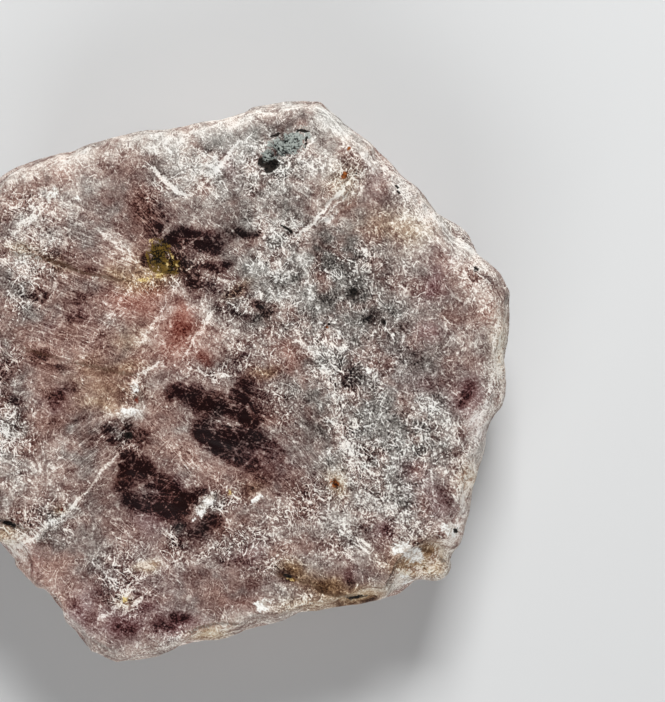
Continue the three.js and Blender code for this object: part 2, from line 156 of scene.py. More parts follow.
FROST = [
    # along the top edge
    (1.6, 18.6, 1.6, 1.8, 0, 0.85), (3.6, 17.6, 2.2, 1.6, -10, 0.9),
    (1.8, 16.4, 0.8, 0.8, 0, 0.7), (7.2, 18.2, 1.4, 1.8, 0, 1.0), (-9.2, 18.6, 1.2, 0.6, 20, 1.0),
    (-10.0, 17.8, 3.0, 1.6, 15, 0.35), (-12.2, 16.4, 1.6, 0.6, 35, 0.45),
    (14.9, 18.2, 2.2, 1.4, -50, 0.9), (14.2, 15.8, 1.2, 0.8, 40, 0.5),
    # The long ovals at y 20.6 whiten the strip along the very edge: partly frost, partly painted
    # highlight.
    (17.4, 15.2, 2.4, 0.9, -58, 0.6), (-6.0, 20.6, 9.0, 0.9, 0, 0.8),
    (9.0, 20.6, 6.0, 0.9, 0, 0.7), (-7.2, 19.0, 2.6, 2.0, 0, 0.6), (13.6, 15.2, 2.4, 1.8, 0, 0.5),
    (-12.6, 15.0, 2.0, 1.0, 30, 0.4), (2.6, 14.6, 1.6, 1.0, 0, 0.4),
    (11.4, 14.6, 3.4, 2.0, 0, 0.45), (12.6, 17.8, 2.2, 1.6, 0, 0.6),
    (2.4, 15.2, 2.2, 1.2, 0, 0.6), (-10.5, 15.6, 4.0, 1.8, 20, 0.45),
    (-1.0, 20.2, 1.6, 0.8, 0, 0.5), (16.6, 13.6, 1.4, 1.6, 0, 0.5), (9.6, 16.8, 1.8, 1.2, 0, 0.4),
    # round the right-hand corner
    (19.6, 11.6, 2.4, 0.8, -60, 0.6), (19.4, 9.0, 1.6, 1.4, 0, 0.8),
    (21.6, 8.0, 2.4, 1.3, -52, 1.0), (23.3, 5.2, 1.6, 1.1, -62, 0.8),
    (22.0, 4.6, 0.8, 1.0, 0, 0.4), (19.0, 6.6, 2.6, 1.8, 0, 0.6), (17.6, 3.8, 1.6, 2.2, 0, 0.5),
    (21.0, 6.8, 1.2, 1.0, 0, 0.5),
    # down the right side
    (23.2, 1.6, 1.0, 1.7, 0, 0.7), (24.0, -2.0, 0.7, 3.0, -5, 0.6),
    (23.4, -5.4, 0.8, 1.6, -20, 0.6), (21.4, -8.6, 0.8, 1.4, -30, 0.6),
    (17.0, -8.4, 2.4, 1.6, -20, 0.45), (17.4, -5.4, 1.6, 1.2, 0, 0.5),
    (21.6, -2.4, 2.2, 1.8, 0, 0.55), (20.4, -8.8, 1.6, 2.2, 0, 0.6),
    # the lower right corner
    (7.9, -14.2, 1.3, 0.8, 0, 1.0), (6.8, -13.4, 1.2, 0.7, 0, 0.5),
    (12.1, -18.2, 1.5, 0.7, -45, 1.0), (12.7, -15.9, 1.0, 0.6, 10, 0.75),
    (16.3, -18.0, 1.2, 0.9, 45, 0.9), (11.0, -21.0, 0.8, 0.8, 0, 0.8),
    (12.4, -12.4, 4.6, 3.4, 0, 0.35), (18.0, -13.4, 1.4, 3.0, 0, 0.5),
    (12.6, -20.4, 1.6, 0.8, 0, 0.5), (5.0, -17.2, 4.0, 1.2, -10, 0.4),
    (10.2, -13.4, 1.4, 1.2, 0, 0.5), (8.0, -16.8, 1.0, 1.6, 0, 0.6),
    (13.4, -19.0, 1.0, 0.8, -30, 0.6),
    # right of the middle
    (12.6, 10.6, 1.5, 0.5, 5, 0.75), (8.0, 0.9, 0.4, 1.4, 10, 0.5), (9.1, -1.8, 0.6, 1.8, 5, 0.5),
    (9.3, -5.6, 0.5, 2.6, 0, 0.6), (8.9, -9.4, 0.6, 2.2, 0, 0.4), (9.9, 5.2, 0.35, 4.2, 0, 0.5),
    (7.4, 5.8, 2.0, 4.6, 0, 0.4), (13.0, 12.4, 1.8, 1.0, 0, 0.4), (7.0, 11.6, 1.8, 3.4, 0, 0.55),
    (8.4, -10.2, 1.2, 2.2, 0, 0.7), (10.0, 11.6, 2.6, 1.6, 0, 0.35),
    # along the lower edge
    (-9.0, -13.8, 1.8, 0.6, 10, 0.55), (-11.7, -16.1, 0.7, 0.7, 0, 0.6),
    (-14.4, -17.4, 1.2, 0.5, 20, 0.6), (-0.6, -19.4, 0.6, 0.8, 0, 0.95),
    (0.9, -19.5, 0.8, 0.8, 0, 0.5), (-4.2, -20.6, 1.8, 0.6, 0, 0.4),
    (2.4, -13.8, 2.4, 1.8, 0, 0.5), (-8.0, -13.8, 3.4, 1.2, 0, 0.4),
    (-13.6, -11.4, 3.0, 2.0, 0, 0.35), (-5.4, -15.2, 2.6, 1.2, -10, 0.55),
    # the left side
    (-16.9, -8.6, 4.0, 0.5, 22, 0.65), (-18.5, -0.6, 0.9, 1.2, 0, 0.55),
    (-17.4, -4.6, 2.0, 2.2, 0, 0.4), (-19.8, -9.6, 1.6, 1.0, 20, 0.4),
    (-19.6, -5.4, 1.2, 2.4, 0, 0.5), (-15.4, 2.6, 1.0, 1.0, 0, 0.4),
    (-14.0, 12.4, 1.6, 1.6, 0, 0.35), (-14.6, -4.0, 2.4, 2.2, 0, 0.5),
    (-18.0, -0.8, 1.4, 2.2, 0, 0.6), (-14.6, 2.6, 1.4, 0.8, 0, 0.35),
    (-20.2, -10.2, 1.8, 1.4, 0, 0.4),
    # the middle
    (1.2, 4.8, 3.2, 0.65, -55, 0.65), (-1.0, 8.0, 1.6, 0.6, -55, 0.45),
    (-7.3, 7.0, 3.4, 0.6, 36, 0.5), (-5.2, 12.6, 3.2, 0.8, -55, 0.7),
    (-5.0, 1.8, 1.3, 0.7, 30, 0.5), (-2.4, 2.4, 2.0, 0.6, 20, 0.4),
    (-3.6, 5.6, 0.5, 1.6, 0, 0.35), (-8.0, -1.3, 1.7, 0.9, -15, 1.0),
    (-10.2, 0.4, 2.4, 0.6, -38, 0.5), (-6.6, 0.9, 0.6, 0.5, 0, 0.7),
    (-3.9, -6.2, 4.2, 0.8, -54, 0.35), (-3.5, -10.0, 0.8, 0.35, 30, 0.8),
    (0.8, -10.9, 0.7, 0.4, 15, 0.6), (0.2, 2.0, 2.4, 1.6, 0, 0.5), (-5.0, 4.6, 2.4, 1.6, 0, 0.55),
    (-2.4, 6.6, 1.4, 1.2, 0, 0.45), (-7.0, 10.6, 3.6, 1.0, -30, 0.35),
    (-10.6, 12.2, 1.8, 0.8, 0, 0.35), (-4.6, 0.4, 1.4, 0.8, 0, 0.5), (4.8, 9.2, 1.0, 2.0, 0, 0.5),
    (-3.8, 0.4, 1.6, 0.7, 0, 0.5), (-8.6, -1.8, 1.2, 0.7, 0, 0.5),
]

# Tints of the stone, each over a part of the face.
ROSE = [
    (20.4, -6.6, 1.9, 1.3, 0, 0.8), (20.6, -9.0, 1.2, 2.0, 0, 0.5),
    (19.9, 3.0, 1.3, 1.1, 45, 0.9), (21.4, 4.6, 1.6, 1.0, 0, 0.4), (18.6, -0.9, 1.1, 0.8, 0, 0.7),
    (17.0, -4.8, 2.0, 1.2, 0, 0.35), (14.5, -2.5, 3.0, 2.6, 0, 0.15),
    (10.6, -16.4, 0.9, 1.1, 0, 0.8), (14.2, -12.0, 1.2, 1.2, 0, 0.5),
    (-13.5, 1.2, 1.3, 1.2, 0, 0.9), (-12.0, 6.6, 1.8, 1.0, -30, 0.6),
    (-9.0, 5.2, 1.2, 1.8, 0, 0.7), (-9.6, 8.0, 1.0, 0.8, 0, 0.7),
    (-16.3, -16.0, 0.9, 2.0, 12, 1.0), (-12.6, -18.3, 1.5, 1.0, 0, 1.0),
    (-10.4, -17.4, 1.0, 0.8, 0, 0.7), (-8.2, -19.6, 2.4, 0.9, -20, 0.9),
    (-18.6, -11.8, 1.6, 1.0, -60, 0.7), (-11.0, -16.0, 6.0, 3.6, 0, 0.25),
    (-8.5, -10.6, 1.6, 1.6, 0, 0.6), (-6.0, -8.6, 1.6, 1.6, 0, 0.5),
    (6.8, -19.2, 0.8, 0.5, 0, 0.7), (2.0, -8.0, 3.0, 1.6, -30, 0.4),
    (-1.0, -15.4, 1.6, 0.8, 0, 0.5), (5.5, 17.0, 1.0, 1.2, 0, 0.4),
    (15.7, -14.9, 1.4, 2.4, 30, 0.6), (-14.6, -16.6, 3.0, 1.6, -50, 0.5),
    (17.0, 13.0, 1.4, 1.8, 0, 0.4),
]
SALMON = [
    (-9.5, 4.0, 8.0, 12.0, 0, 0.5), (-10.5, 19.4, 5.0, 1.6, 15, 0.6),
    (-3.0, 15.5, 1.6, 3.6, 10, 0.7), (-11.8, 4.4, 3.0, 2.0, -30, 0.8),
    (-14.2, 5.2, 1.4, 1.0, -40, 0.7), (-15.6, 8.4, 2.0, 1.6, 0, 0.5),
    (-5.0, 8.0, 2.2, 1.4, -40, 0.9), (-14.0, -0.3, 2.0, 0.8, 0, 0.8),
    (-7.4, -3.2, 1.2, 1.8, 0, 0.6), (-11.6, -2.0, 2.4, 0.8, 15, 0.6),
    (-3.9, -6.2, 4.4, 1.0, -54, 0.9), (1.0, -9.0, 4.0, 1.6, -30, 0.7),
    (3.6, -4.4, 1.6, 0.7, 0, 0.6), (6.8, -0.2, 1.0, 1.6, 0, 0.6), (3.8, -0.8, 1.4, 0.6, 0, 0.6),
    (5.2, 4.4, 1.6, 0.9, -30, 0.6), (3.0, 6.2, 1.6, 0.6, 20, 0.5), (0.6, 2.6, 1.4, 1.8, 0, 0.5),
    (-18.5, -7.6, 1.6, 0.8, -20, 0.5), (-17.6, -12.5, 2.4, 1.6, -60, 0.7),
    (-2.8, -12.2, 1.0, 1.6, 0, 0.8), (-5.2, -10.6, 1.2, 1.6, 30, 0.7),
    (-0.4, -12.4, 1.0, 0.8, 0, 0.6), (2.6, -16.0, 1.6, 1.2, 0, 0.6),
    (6.2, -13.0, 1.4, 1.0, 0, 0.5), (-4.6, -17.8, 3.0, 1.6, 0, 0.5),
    (14.2, 11.6, 1.2, 0.4, 20, 0.5), (22.8, 2.6, 1.4, 2.2, -20, 0.5),
    (23.6, -0.8, 1.4, 2.2, 0, 0.5), (17.6, 13.0, 1.0, 1.8, 0, 0.5),
    (14.8, -15.6, 1.2, 2.4, 20, 0.6), (-18.0, -14.0, 3.0, 2.0, -50, 0.5),
    (-4.0, 13.0, 2.0, 2.0, 0, 0.5),
]
GREY = [
    (3.0, 18.4, 3.6, 2.8, 0, 0.75), (10.0, 17.4, 4.0, 3.0, 0, 0.9), (6.6, 8.0, 2.6, 7.0, 0, 0.8),
    (11.0, 5.6, 2.6, 5.0, 0, 0.8), (13.6, 4.0, 2.4, 4.4, 0, 0.8),
    (16.0, 18.6, 3.0, 1.6, -50, 0.6), (22.4, 8.4, 2.6, 1.4, -52, 0.7),
    (8.6, -4.0, 2.0, 6.0, 0, 0.75), (13.6, -8.0, 3.6, 4.0, 0, 0.7),
    (12.0, -14.0, 3.0, 2.0, 0, 0.4), (-13.2, 12.6, 1.8, 1.8, 0, 0.7),
    (-7.6, -1.0, 1.4, 0.6, 0, 0.8), (-3.6, -10.0, 1.3, 0.6, 0, 0.9),
    (-6.4, -12.4, 0.8, 0.8, 0, 0.7), (-17.6, -9.0, 3.0, 0.9, 20, 0.6),
    (-18.4, 0.4, 1.4, 3.4, 0, 0.5), (-12.4, -15.8, 0.8, 1.4, 0, 0.5),
    (-7.6, 7.6, 0.9, 0.9, 0, 0.5), (7.4, -15.6, 2.0, 1.6, 0, 0.4), (13.0, -1.0, 4.0, 3.2, 0, 0.5),
    (-11.6, 11.4, 3.0, 2.0, 0, 0.6), (12.4, 9.4, 4.4, 4.4, 0, 0.65),
    (14.5, -8.0, 5.0, 5.0, 0, 0.5), (16.0, -2.0, 3.4, 4.4, 0, 0.35),
    (-14.0, -13.0, 3.0, 1.4, -20, 0.5), (14.0, -10.0, 5.0, 4.6, 0, 0.5),
    (12.0, -4.0, 3.0, 3.0, 0, 0.55),
]
OCHRE = [
    (-1.8, 9.6, 1.4, 0.9, 0, 1.0), (-4.2, 9.4, 1.6, 1.0, -20, 0.9),
    (-6.0, 10.4, 1.6, 0.6, -30, 0.6), (-9.0, 1.4, 3.0, 1.0, -25, 0.5),
    (-6.9, 2.5, 1.8, 0.7, -10, 0.6), (-9.6, 3.4, 1.8, 0.7, -30, 0.4),
    (-13.2, 14.4, 1.4, 0.5, -25, 0.5), (-10.6, 12.8, 1.6, 0.4, -30, 0.4),
    (17.4, 9.0, 2.6, 1.5, -20, 0.45), (19.4, 7.8, 1.4, 1.0, 0, 0.4),
    (14.6, 13.6, 1.6, 1.2, 20, 0.5), (2.4, -17.6, 1.0, 0.7, -40, 1.0),
    (4.8, -19.4, 2.6, 0.9, -30, 1.0), (7.4, -21.1, 2.2, 0.8, 0, 1.0),
    (-5.6, -21.0, 1.6, 0.7, 0, 0.9), (12.2, -20.0, 1.6, 0.6, -30, 1.0),
    (14.3, -19.2, 1.0, 1.2, 0, 1.0), (18.8, -13.6, 0.8, 1.2, 0, 0.5),
    (7.8, -11.3, 0.8, 1.2, 0, 0.8), (-9.4, -14.1, 1.0, 0.4, 0, 0.8),
    (24.2, -3.6, 0.9, 2.6, -10, 0.5), (-20.6, -8.4, 1.4, 0.9, -30, 0.7),
    (-15.6, -7.5, 0.6, 0.5, 0, 0.6), (3.6, 6.6, 1.0, 0.5, 20, 0.5),
    (0.8, -10.0, 1.0, 0.7, 0, 0.4), (-12.2, -16.3, 0.7, 0.5, 0, 0.7),
    (-3.0, 10.4, 2.2, 1.6, 0, 0.6), (-6.4, 4.8, 2.0, 1.2, 0, 0.4),
    (-10.0, 0.2, 2.2, 0.8, -20, 0.6), (12.8, -19.8, 2.6, 1.2, -30, 0.8),
    (3.0, -20.6, 3.0, 0.8, -10, 0.6), (4.2, -0.6, 1.0, 0.5, 0, 0.7),
]
BLUSH = [
    (-1.9, 4.6, 1.7, 1.5, 0, 0.78), (-1.0, 5.8, 0.8, 1.2, 0, 0.7),
    (-4.3, 6.8, 1.1, 1.5, 20, 0.45), (-6.0, 8.0, 1.8, 1.0, -30, 0.5),
    (-3.0, 3.0, 1.8, 1.4, 0, 0.5), (-0.6, 1.9, 0.9, 0.7, 0, 0.6), (-3.6, 8.4, 1.6, 0.9, -30, 0.5),
    (-6.4, 1.6, 5.0, 2.4, -10, 0.14), (-2.4, -19.2, 1.8, 0.8, 0, 0.35),
    (-19.6, -11.4, 1.6, 2.2, -30, 0.25), (6.6, -0.1, 1.4, 1.4, 0, 0.3),
]

# Where the etched surface is coarse and flecked; elsewhere it is silky.
COARSE = [
    # along the top edge
    (9.5, 16.5, 2.4, 2.0, 0, 0.7), (15.0, 14.0, 1.4, 1.2, 0, 0.9), (3.6, 17.4, 3.0, 2.4, 0, 0.35),
    (-0.6, 16.8, 1.6, 1.2, 0, 0.5), (-11.8, 18.2, 2.0, 1.2, 0, 0.6),
    (-12.0, 15.8, 3.4, 2.2, 0, 0.45),
    # round the right-hand corner
    (20.0, 11.5, 3.6, 1.2, -55, 0.6), (23.6, 3.0, 1.4, 2.0, 0, 0.6),
    # down the right side
    (15.0, 1.0, 4.6, 6.0, 0, 0.4), (14.8, -9.6, 1.6, 1.8, 0, 1.0), (17.2, -7.0, 1.4, 1.6, 0, 0.7),
    (18.0, -11.0, 2.0, 3.4, 0, 0.5), (23.6, -5.8, 1.2, 3.0, -20, 0.7),
    # the lower right corner
    (13.0, -15.4, 2.4, 3.4, 0, 0.75), (5.4, -12.4, 3.0, 1.8, 0, 0.75),
    (7.6, -16.2, 2.2, 1.6, 0, 0.6), (12.0, -20.6, 2.0, 1.0, 0, 0.5),
    # right of the middle
    (9.6, 10.4, 1.4, 1.0, 0, 0.7), (7.4, 7.6, 1.8, 6.0, 0, 0.55), (12.8, 6.6, 2.4, 1.6, 0, 0.6),
    (10.0, -1.0, 1.6, 3.4, 0, 0.8), (12.2, -3.0, 1.6, 1.6, 0, 0.6),
    (10.6, -9.0, 2.2, 3.8, 0, 1.0), (5.0, -3.2, 1.8, 2.2, 0, 0.6),
    # along the lower edge
    (-1.6, -14.0, 3.0, 1.2, 0, 0.8), (0.6, -16.4, 1.8, 1.6, 0, 0.6),
    (-6.6, -12.8, 1.0, 1.6, 0, 0.6), (-12.0, -14.8, 1.8, 2.8, 0, 0.9),
    (2.0, -20.0, 2.0, 1.0, 0, 0.6), (-9.0, -20.4, 2.0, 0.8, 0, 0.5),
    # the left side
    (-16.4, -8.2, 2.2, 1.6, 0, 0.85), (-19.6, -8.2, 1.4, 1.2, 0, 0.7),
    (-17.6, 1.0, 1.8, 2.2, 0, 0.95), (-17.0, 5.4, 1.6, 2.0, 0, 0.6),
    (-18.0, -3.4, 1.4, 2.0, 0, 0.5), (-12.6, 13.0, 1.8, 1.6, 0, 0.85),
    (-14.4, 10.4, 1.6, 1.6, 0, 0.6),
    # the middle
    (3.2, 6.0, 2.4, 1.6, -50, 0.7), (-3.6, 9.2, 1.6, 0.8, 0, 0.6), (-1.4, 10.6, 1.0, 1.4, 0, 0.7),
    (-2.0, -10.3, 1.8, 1.0, 0, 0.85), (-8.7, -3.2, 1.0, 1.4, 0, 0.8),
    (-6.6, 0.6, 0.8, 1.6, -30, 0.5), (0.6, 0.6, 1.8, 0.8, 0, 0.8), (3.4, 1.8, 2.4, 2.0, 0, 0.5),
    (0.4, 9.8, 2.4, 2.6, 0, 0.35),
]

PATCHES = {
    "clear": CLEAR_WINDOWS,
    "frost": FROST,
    "rose": ROSE,
    "salmon": SALMON,
    "grey": GREY,
    "ochre": OCHRE,
    "blush": BLUSH,
    "coarse": COARSE,
}

# Where silky fibres run, for each heading that they follow.
FIBRES = {
    22: [
        (-11.6, -3.0, 3.4, 2.2, 0, 1.0), (-14.0, -8.6, 2.6, 1.0, 25, 0.7),
        (-7.5, 7.2, 3.4, 1.0, 36, 0.6), (-3.6, 3.0, 3.0, 1.0, 20, 0.6),
        (4.4, 5.4, 2.4, 1.4, 0, 0.5),
    ],
    98: [
        (9.2, -1.0, 1.4, 12.0, 0, 0.9), (10.4, 5.0, 1.2, 5.0, 0, 0.4),
        (24.4, 0.6, 1.3, 5.4, 0, 1.0), (-2.0, -1.0, 3.0, 2.0, 0, 0.4),
    ],
    118: [
        (-1.6, 14.6, 2.6, 4.0, 0, 1.0), (-4.2, -6.0, 5.0, 1.5, -54, 0.75),
        (6.0, -10.0, 3.0, 8.0, 0, 0.9), (13.5, -17.0, 3.6, 2.6, 0, 0.8),
        (19.4, 9.0, 3.0, 4.0, 0, 0.5), (17.0, -1.0, 4.0, 6.0, 0, 0.4),
    ],
    145: [
        (-11.0, 14.0, 6.0, 4.4, 0, 1.0), (-11.4, 6.4, 4.6, 4.6, 0, 1.0),
        (-4.8, 10.8, 3.0, 2.6, 0, 0.6), (0.6, -4.0, 5.0, 4.4, 0, 0.9),
        (-8.0, -8.0, 3.0, 3.0, 0, 0.7), (-11.0, -17.0, 6.0, 3.0, 0, 0.6),
        (2.0, 10.0, 3.4, 3.4, 0, 0.6),
    ],
}

# Stains and grown-in grains of other minerals, each drawn over those before it: dark and
# light shade, how far in its ragged edge fades, and its places. The first five numbers of a
# place are as above, and the last is how far the surface there stands above the face.
GRAINS = {
    "red": ("#2c0d08", "#7a3524", 0.7, [
        (-6.9, -0.2, 0.22, 0.36, 0, -0.25), (-15.4, -7.6, 0.34, 0.3, 0, -0.1),
    ]),
    "slate": ("#050606", "#a8aea8", 0.2, [
        (10.8, 17.6, 1.7, 0.95, 14, -0.05), (9.0, 16.9, 0.9, 0.75, 30, -0.1),
    ]),
    "mica": ("#100c03", "#6a5222", 0.2, [
        (-2.1, 11.3, 1.3, 0.9, 60, -0.05), (-1.5, 10.1, 0.9, 0.75, -20, -0.05),
    ]),
    "rust": ("#2a1208", "#a05c2c", 0.25, [
        (14.9, 14.0, 0.42, 0.26, 60, -0.1), (15.8, 16.1, 0.22, 0.14, 60, -0.05),
        (7.7, -11.3, 0.34, 0.62, 15, -0.1), (10.3, 1.8, 0.22, 0.16, 0, -0.05),
    ]),
    "tan": ("#7c5236", "#f1e4d4", 0.7, [
        (14.3, -19.5, 1.1, 0.6, 50, 0.0), (12.4, -20.0, 1.4, 0.4, -25, 0.0),
        (-9.6, -14.0, 0.9, 0.38, -12, 0.05),
    ]),
    "yellow": ("#7a4f14", "#e8cf8e", 0.7, [
        (-12.0, -16.4, 0.36, 0.26, 0, 0.0), (-1.2, -9.8, 0.32, 0.28, 0, 0.0),
        (2.2, -18.3, 0.7, 0.24, -30, 0.0), (-4.0, 9.5, 0.5, 0.24, -10, 0.0),
        (-2.4, 9.4, 0.8, 0.26, 5, 0.0), (-1.4, 10.3, 0.3, 0.3, 0, 0.0),
        (-2.4, 12.5, 0.35, 0.2, 0, 0.0), (-1.0, 10.9, 0.12, 0.4, 10, 0.0),
        (-0.9, 9.9, 0.2, 0.3, 20, 0.0), (-1.9, 9.2, 0.5, 0.16, -10, 0.0),
        (-3.2, 9.5, 0.4, 0.16, -20, 0.0),
    ]),
    "white": ("#b9aca0", "#fffdf8", 0.4, [
        (-7.8, -1.0, 0.9, 0.36, -18, 0.15), (-6.8, 0.8, 0.42, 0.42, 0, 0.2),
        (-3.2, -10.1, 1.35, 0.42, 36, 0.1), (0.9, -10.9, 0.62, 0.2, 15, 0.05),
        (-9.4, 18.5, 1.0, 0.42, 30, 0.05), (12.4, -18.5, 1.6, 0.7, -48, 0.0),
        (11.6, -20.8, 0.5, 0.6, 20, 0.0), (16.3, -17.5, 0.85, 0.7, 0, 0.0),
        (-7.8, 17.6, 0.5, 0.24, -10, 0.0), (-0.7, -19.7, 0.8, 0.5, 0, 0.05),
        (12.9, -2.6, 0.25, 0.2, 0, 0.05),
    ]),
    "black": ("#060505", "#2a2420", 0.2, [
        (9.1, 16.3, 0.85, 0.5, 20, -0.15), (8.3, 16.9, 0.55, 0.3, 70, -0.1),
        (10.0, 18.6, 1.1, 0.1, 6, -0.05), (12.2, 18.5, 0.7, 0.12, -12, -0.05),
        (9.2, 10.5, 1.0, 0.12, -45, -0.2), (10.6, 2.0, 0.26, 0.16, -10, -0.1),
        (23.7, 3.5, 0.22, 0.3, 0, -0.1), (19.0, 11.6, 0.12, 0.75, 6, -0.1),
        (-20.0, -7.7, 0.95, 0.26, -32, -0.25), (-8.3, -3.0, 0.3, 0.34, 40, -0.25),
        (16.7, -17.6, 0.26, 0.3, 0, -0.15), (1.9, -17.9, 0.5, 0.18, -35, -0.1),
        (7.2, -21.0, 1.0, 0.18, -5, -0.1), (13.2, 4.2, 0.3, 0.4, 0, -0.05),
        (15.1, 1.0, 0.22, 0.4, 0, -0.1), (-1.3, 9.8, 0.2, 0.16, 0, -0.05),
        (12.4, 17.5, 0.12, 0.5, -25, -0.05),
    ]),
}

# Lines over the face: how strong each is, then the points that it runs through.
PALE_FRACTURES = [
    (0.5, [(-20.4, -10.0), (-18.6, -9.6), (-16.6, -8.6), (-14.6, -7.8)]),
    (0.65, [(-14.6, -7.8), (-12.8, -6.7), (-11.1, -5.3), (-9.4, -4.2)]),
    (0.6, [(-6.9, 0.9), (-6.2, 1.7), (-4.5, 2.3)]),
    (0.7, [(-2.0, 2.4), (-0.6, 3.8), (1.4, 5.6)]),
    (0.5, [(-5.0, 4.6), (-4.0, 5.6), (-3.0, 6.6)]),
    (0.8, [(-1.7, 1.1), (-0.5, 0.4), (0.8, 0.0)]),
    (1.0, [(-0.8, 18.6), (0.2, 17.0), (1.4, 15.5)]),
    (0.6, [(1.4, 15.5), (3.2, 16.2), (5.0, 17.4), (7.0, 19.0)]),
    (1.0, [(9.8, 9.9), (12.1, 11.2), (14.1, 12.5), (15.4, 13.6)]),
    (0.5, [(11.6, 10.4), (13.0, 10.6), (14.4, 11.4)]),
    (0.5, [(-14.4, 15.3), (-13.2, 16.4), (-11.7, 17.1), (-10.2, 18.0)]),
    (0.2, [(9.9, 9.8), (9.7, 6.6), (9.9, 3.4), (9.8, 0.6)]),
    (0.6, [(7.6, 2.4), (8.2, 0.6), (8.8, -0.8), (9.4, -2.0)]),
    (0.4, [(9.2, -2.6), (9.6, -4.6), (9.4, -6.8), (9.0, -9.4)]),
    (0.6, [(-14.6, -17.5), (-13.4, -17.2), (-12.0, -16.2), (-10.4, -15.0)]),
    (0.6, [(7.9, 15.8), (9.9, 15.7), (11.6, 16.3), (13.0, 17.6)]),
    (0.35, [(-2.2, -3.4), (-0.2, -4.0), (2.8, -5.0)]),
    (0.35, [(-5.0, 9.2), (-7.2, 7.4), (-10.0, 5.2)]),
    (0.35, [(-6.4, 14.4), (-5.0, 12.4), (-3.8, 10.6)]),
    (0.3, [(17.0, 8.9), (18.6, 9.3), (20.4, 8.6)]),
]
# Streaks only colour the face; seams are open grooves too.
BROWN_STREAKS = [
    (0.9, [(-13.8, 14.4), (-11.7, 13.5), (-9.8, 12.2), (-8.3, 11.2), (-5.4, 9.9)]),
    (0.8, [(-10.9, 4.1), (-8.6, 2.8), (-6.5, 1.8)]),
]
BROWN_SEAMS = [
    (1.0, [(-7.0, -20.4), (-5.0, -20.2), (-3.4, -20.7)]),
    (1.0, [(1.0, -17.4), (2.2, -18.2), (3.4, -18.9), (4.8, -20.3), (7.8, -21.1)]),
    (1.0, [(11.2, -17.6), (12.8, -18.2), (14.3, -19.0), (15.0, -20.0)]),
    (0.8, [(-20.8, -7.3), (-19.7, -8.1), (-18.5, -8.6)]),
    (0.6, [(12.6, 11.9), (14.2, 12.1), (15.0, 12.4)]),
    (0.5, [(-16.4, 7.4), (-14.2, 5.8), (-12.4, 4.6)]),
]
WINDOW_CRISPNESS = 1.6  # windows have firmer edges than the other patches, which have 1
LINE_REACH = 1.0  # no line shows further from its middle than this
LINE_WANDER = 0.16  # how far a line strays from the points that it runs through
LINE_WIDTH = 0.12  # half the width of a line's colour, before the etch makes it ragged

# The rim, white partly as frosted stone and partly as painted highlight: heading of its
# middle from the crystal's centre, how far round it reaches to each side, and how white it is.
RIM_WHITE_AND_HIGHLIGHT = [
    (30, 28, 0.65),
    (90, 34, 0.65),
    (-30, 30, 0.9),
    (-92, 34, 0.75),
    (-150, 26, 0.6),
    (150, 30, 0.7),
]
# Knobs that the sides swell out into: middle x and y, half width, and how far out.
SIDE_KNOBS = [
    (14.4, -20.4, 1.5, 0.9),
    (25.2, -6.0, 1.6, 0.4),
]
RIM_WIDTH = 1.9  # how far in from the outline the white rim reaches; its white is partly painted highlight
SIDE_LEVEL = 10.6  # below this height, the surface is a prism side

# ---- The view -------------------------------------------------------------------------
VIEW_TURN = math.radians(-14.2)  # which way is up in the view, from the crystal's +Y
VIEW_CENTRE = Vector((10.25, -0.27, 12.6)) * MM  # the point that the camera is above
LENS = 300  # a long lens, so that the crystal's sides hardly show from above
FLOOR_HALF = 1.5  # half the floor's width in metres, beyond the edge of every view


# ---- Small helpers --------------------------------------------------------------------
def linear(hex_colour):
    """An sRGB hex colour as linear RGBA."""
    parts = [int(hex_colour[i : i + 2], 16) / 255 for i in (1, 3, 5)]
    curve = [c / 12.92 if c <= 0.04045 else ((c + 0.055) / 1.055) ** 2.4 for c in parts]
    return (*curve, 1.0)


def ramp(values, low, high):
    """0 below low and 1 above high, smooth between."""
    share = np.clip((values - low) / (high - low), 0, 1)
    return share * share * (3 - 2 * share)


def lattice_value(cell, seed):
    """A repeatable number from -1 to 1 for each whole-numbered cell corner."""
    # Any large, unrelated numbers do here: only the sine's last digits count.
    mixed = cell @ np.array([127.1, 311.7, 74.7]) + seed * 53.3 + SEED
    wave = np.sin(mixed) * 43758.5453
    return 2 * (wave - np.floor(wave)) - 1


def noise(points, size, seed):
    """Smooth noise from -1 to 1 at each point, with lumps of that size in millimetres.

    Each use has a seed of its own, so that no two patterns lie on one another.
    """
    scaled = points / size
    cell = np.floor(scaled)
    share = scaled - cell
    share = share * share * (3 - 2 * share)
    total = np.zeros(len(points))
    for corner in np.ndindex(2, 2, 2):
        weight = np.prod(np.where(corner, share, 1 - share), axis=1)
        total += weight * lattice_value(cell + corner, seed)
    return total


def turned(points, heading):
    """The points seen along a heading: how far along it, and how far to its left."""
    c, s = math.cos(math.radians(heading)), math.sin(math.radians(heading))
    x, y = points[:, 0], points[:, 1]
    return x * c + y * s, y * c - x * s


def patches(points, ovals, crisp=1.0):
    """Union of fading ovals, from 0 to 1; above 1, crisp gives them firmer edges."""
    left = np.ones(len(points))
    for x, y, length, width, heading, strength in ovals:
        along, across = turned(points[:, :2] - (x, y), heading)
        away = (along / length) ** 2 + (across / width) ** 2
        left *= 1 - strength * np.exp(-(away**crisp))
    return 1 - left


def grain_depth(points, ovals):
    """How deep inside the nearest grain a point lies: 1 in its middle, 0 on its edge."""
    deepest = np.full(len(points), -1.0)
    for x, y, length, width, heading, _ in ovals:
        along, across = turned(points[:, :2] - (x, y), heading)
        inside = 1 - np.hypot(along / length, across / width)
        deepest = np.maximum(deepest, inside)
    return deepest


